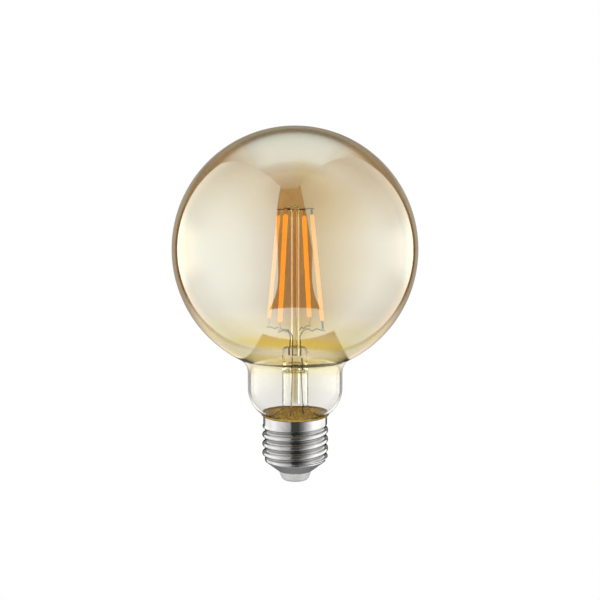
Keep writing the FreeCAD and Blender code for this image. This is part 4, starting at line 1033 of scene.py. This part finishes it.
def tent_cast(sky):
    """Colour of the studio as polished glass mirrors it; other surfaces see it neutral."""
    warm = sky.times(sky.right, sky.smooth(sky.aside, 90.0, 20.0))
    cast = sky.blend(warm, rgba(*TENT_TINT), rgba(*WARM_TINT))
    rear = sky.times(sky.smooth(sky.aside, 108.0, 150.0), sky.smooth(sky.off_level, 50.0, 25.0))
    middle = sky.times(sky.smooth(sky.aside, 90.0, 125.0), sky.smooth(sky.off_level, 18.0, 4.0))
    rear = sky.maths("MAXIMUM", rear, sky.times(middle, sky.sided(0.75, 0.25)))
    cast = sky.blend(rear, cast, rgba(*REAR_TINT))
    return sky.blend(sky.polished, WHITE, cast)


def world_light():
    """White surroundings for the eye, and a studio of two tall diffusers for what mirrors it."""
    world = bpy.data.worlds.new("studio")
    world.use_nodes = True
    bpy.context.scene.world = world
    sky = Sky(world.node_tree)
    scattered = sky.maths("GREATER_THAN", sky.path["Diffuse Depth"], 0.5)
    bounced = sky.maths("GREATER_THAN", sky.plus(sky.path["Glossy Depth"], scattered), 0.5)
    tent = sky.times(tent_glow(sky), sky.smooth(scattered, 0.0, 1.0, 1.0, DIFFUSE_SHARE))
    # through glass the eye sees a paler white, and a dim one where the glass bends its sight away
    level_sight = sky.maths("MAXIMUM", sky.smooth(sky.size(sky.depth), 0.45, 0.90),
                            sky.smooth(sky.size(sky.across), 0.90, 0.975))
    through = sky.smooth(level_sight, 0.0, 1.0, BACKDROP_OFF_LEVEL, BACKDROP_THROUGH_GLASS, kind="LINEAR")
    direct = sky.maths("MAXIMUM", sky.path["Is Camera Ray"], through)
    strength = sky.plus(sky.times(bounced, tent), sky.times(sky.minus(1.0, bounced), direct))
    background = sky.add("ShaderNodeBackground")
    sky.plug(background.inputs["Color"], sky.blend(bounced, WHITE, tent_cast(sky)))
    sky.plug(background.inputs["Strength"], strength)
    sky.tree.links.new(background.outputs[0], sky.add("ShaderNodeOutputWorld").inputs["Surface"])


def softboxes():
    """Real lamps that shade the matte pieces; the tent stands for them in mirrors."""
    lamps = (
        ("softbox_left", (-0.42, -0.30, 0.16), 0.35, (0.35, 0.6)),
        ("softbox_right", (0.42, -0.30, 0.16), 0.25, (0.35, 0.6)),
        ("softbox_high", (0.0, -0.45, 0.30), 2.6, (0.3, 0.2)),
        ("softbox_low", (0.0, -0.40, -0.15), 2.0, (0.4, 0.2)),
    )
    for name, place, power, size in lamps:
        data = bpy.data.lights.new(name, "AREA")
        data.shape = "RECTANGLE"
        data.size, data.size_y = size
        data.energy = power
        lamp = bpy.data.objects.new(name, data)
        lamp.location = place
        aim = Vector((0.0, 0.0, 0.05)) - lamp.location
        lamp.rotation_euler = aim.to_track_quat("-Z", "Y").to_euler()
        lamp.visible_camera = False
        lamp.visible_glossy = False
        lamp.visible_transmission = False
        bpy.context.scene.collection.objects.link(lamp)


def pale_floor():
    """A plain white floor below the lamp that runs into the white surroundings."""
    mesh = bpy.data.meshes.new("floor")
    size, level = 4.0, -0.12
    corners = [(-size, -size, level), (size, -size, level), (size, size, level), (-size, size, level)]
    mesh.from_pydata(corners, [], [(0, 1, 2, 3)])
    material, nodes = new_material("floor_paper")
    paper = nodes.add("ShaderNodeEmission")
    nodes.plug(paper.inputs["Color"], WHITE)
    nodes.plug(paper.inputs["Strength"], 1.0)
    nodes.finish(paper.outputs[0])
    mesh.materials.append(material)
    floor = bpy.data.objects.new("floor", mesh)
    floor.visible_glossy = False
    floor.visible_transmission = False
    floor.visible_diffuse = False
    floor.visible_shadow = False
    bpy.context.scene.collection.objects.link(floor)


def camera():
    """Level with the globe's middle, looking slightly down."""
    data = bpy.data.cameras.new("camera")
    data.sensor_width = 36.0
    data.lens = 46.1
    data.clip_start = 0.01
    eye = bpy.data.objects.new("camera", data)
    eye.location = (0.0019, -0.300, GLOBE_CENTRE * MM)
    eye.rotation_euler = (math.radians(90.0 - 3.69), 0.0, 0.0)
    bpy.context.scene.collection.objects.link(eye)
    bpy.context.scene.camera = eye


def picture_settings():
    scene = bpy.context.scene
    scene.view_settings.view_transform = "Standard"
    scene.cycles.max_bounces = 24
    scene.cycles.transmission_bounces = 20
    scene.cycles.glossy_bounces = 8
    scene.cycles.transparent_max_bounces = 24
    scene.cycles.sample_clamp_indirect = 12.0
    scene.cycles.use_denoising = True


# ---------------------------------------------------------------- build

def dress_cad_nodes():
    """Every CAD node that stays in view or inside gets its slot's material."""
    slots = {part["node"]: part["material_slot"] for part in frame["record"]["subparts"]}
    for name, node in frame["nodes"].items():
        node.data.materials.clear()
        node.data.materials.append(MATERIALS[slots[name]])


MATERIALS = make_materials()
dress_cad_nodes()
camera()
picture_settings()
glass_globe()
stem_glass()
exhaust_glass()
pillar_glass()
link_wires()
lower_wires()
lead_wires()
strip_coats()
screw_shell()
cement_bead()
potting_fill()
world_light()
softboxes()
pale_floor()
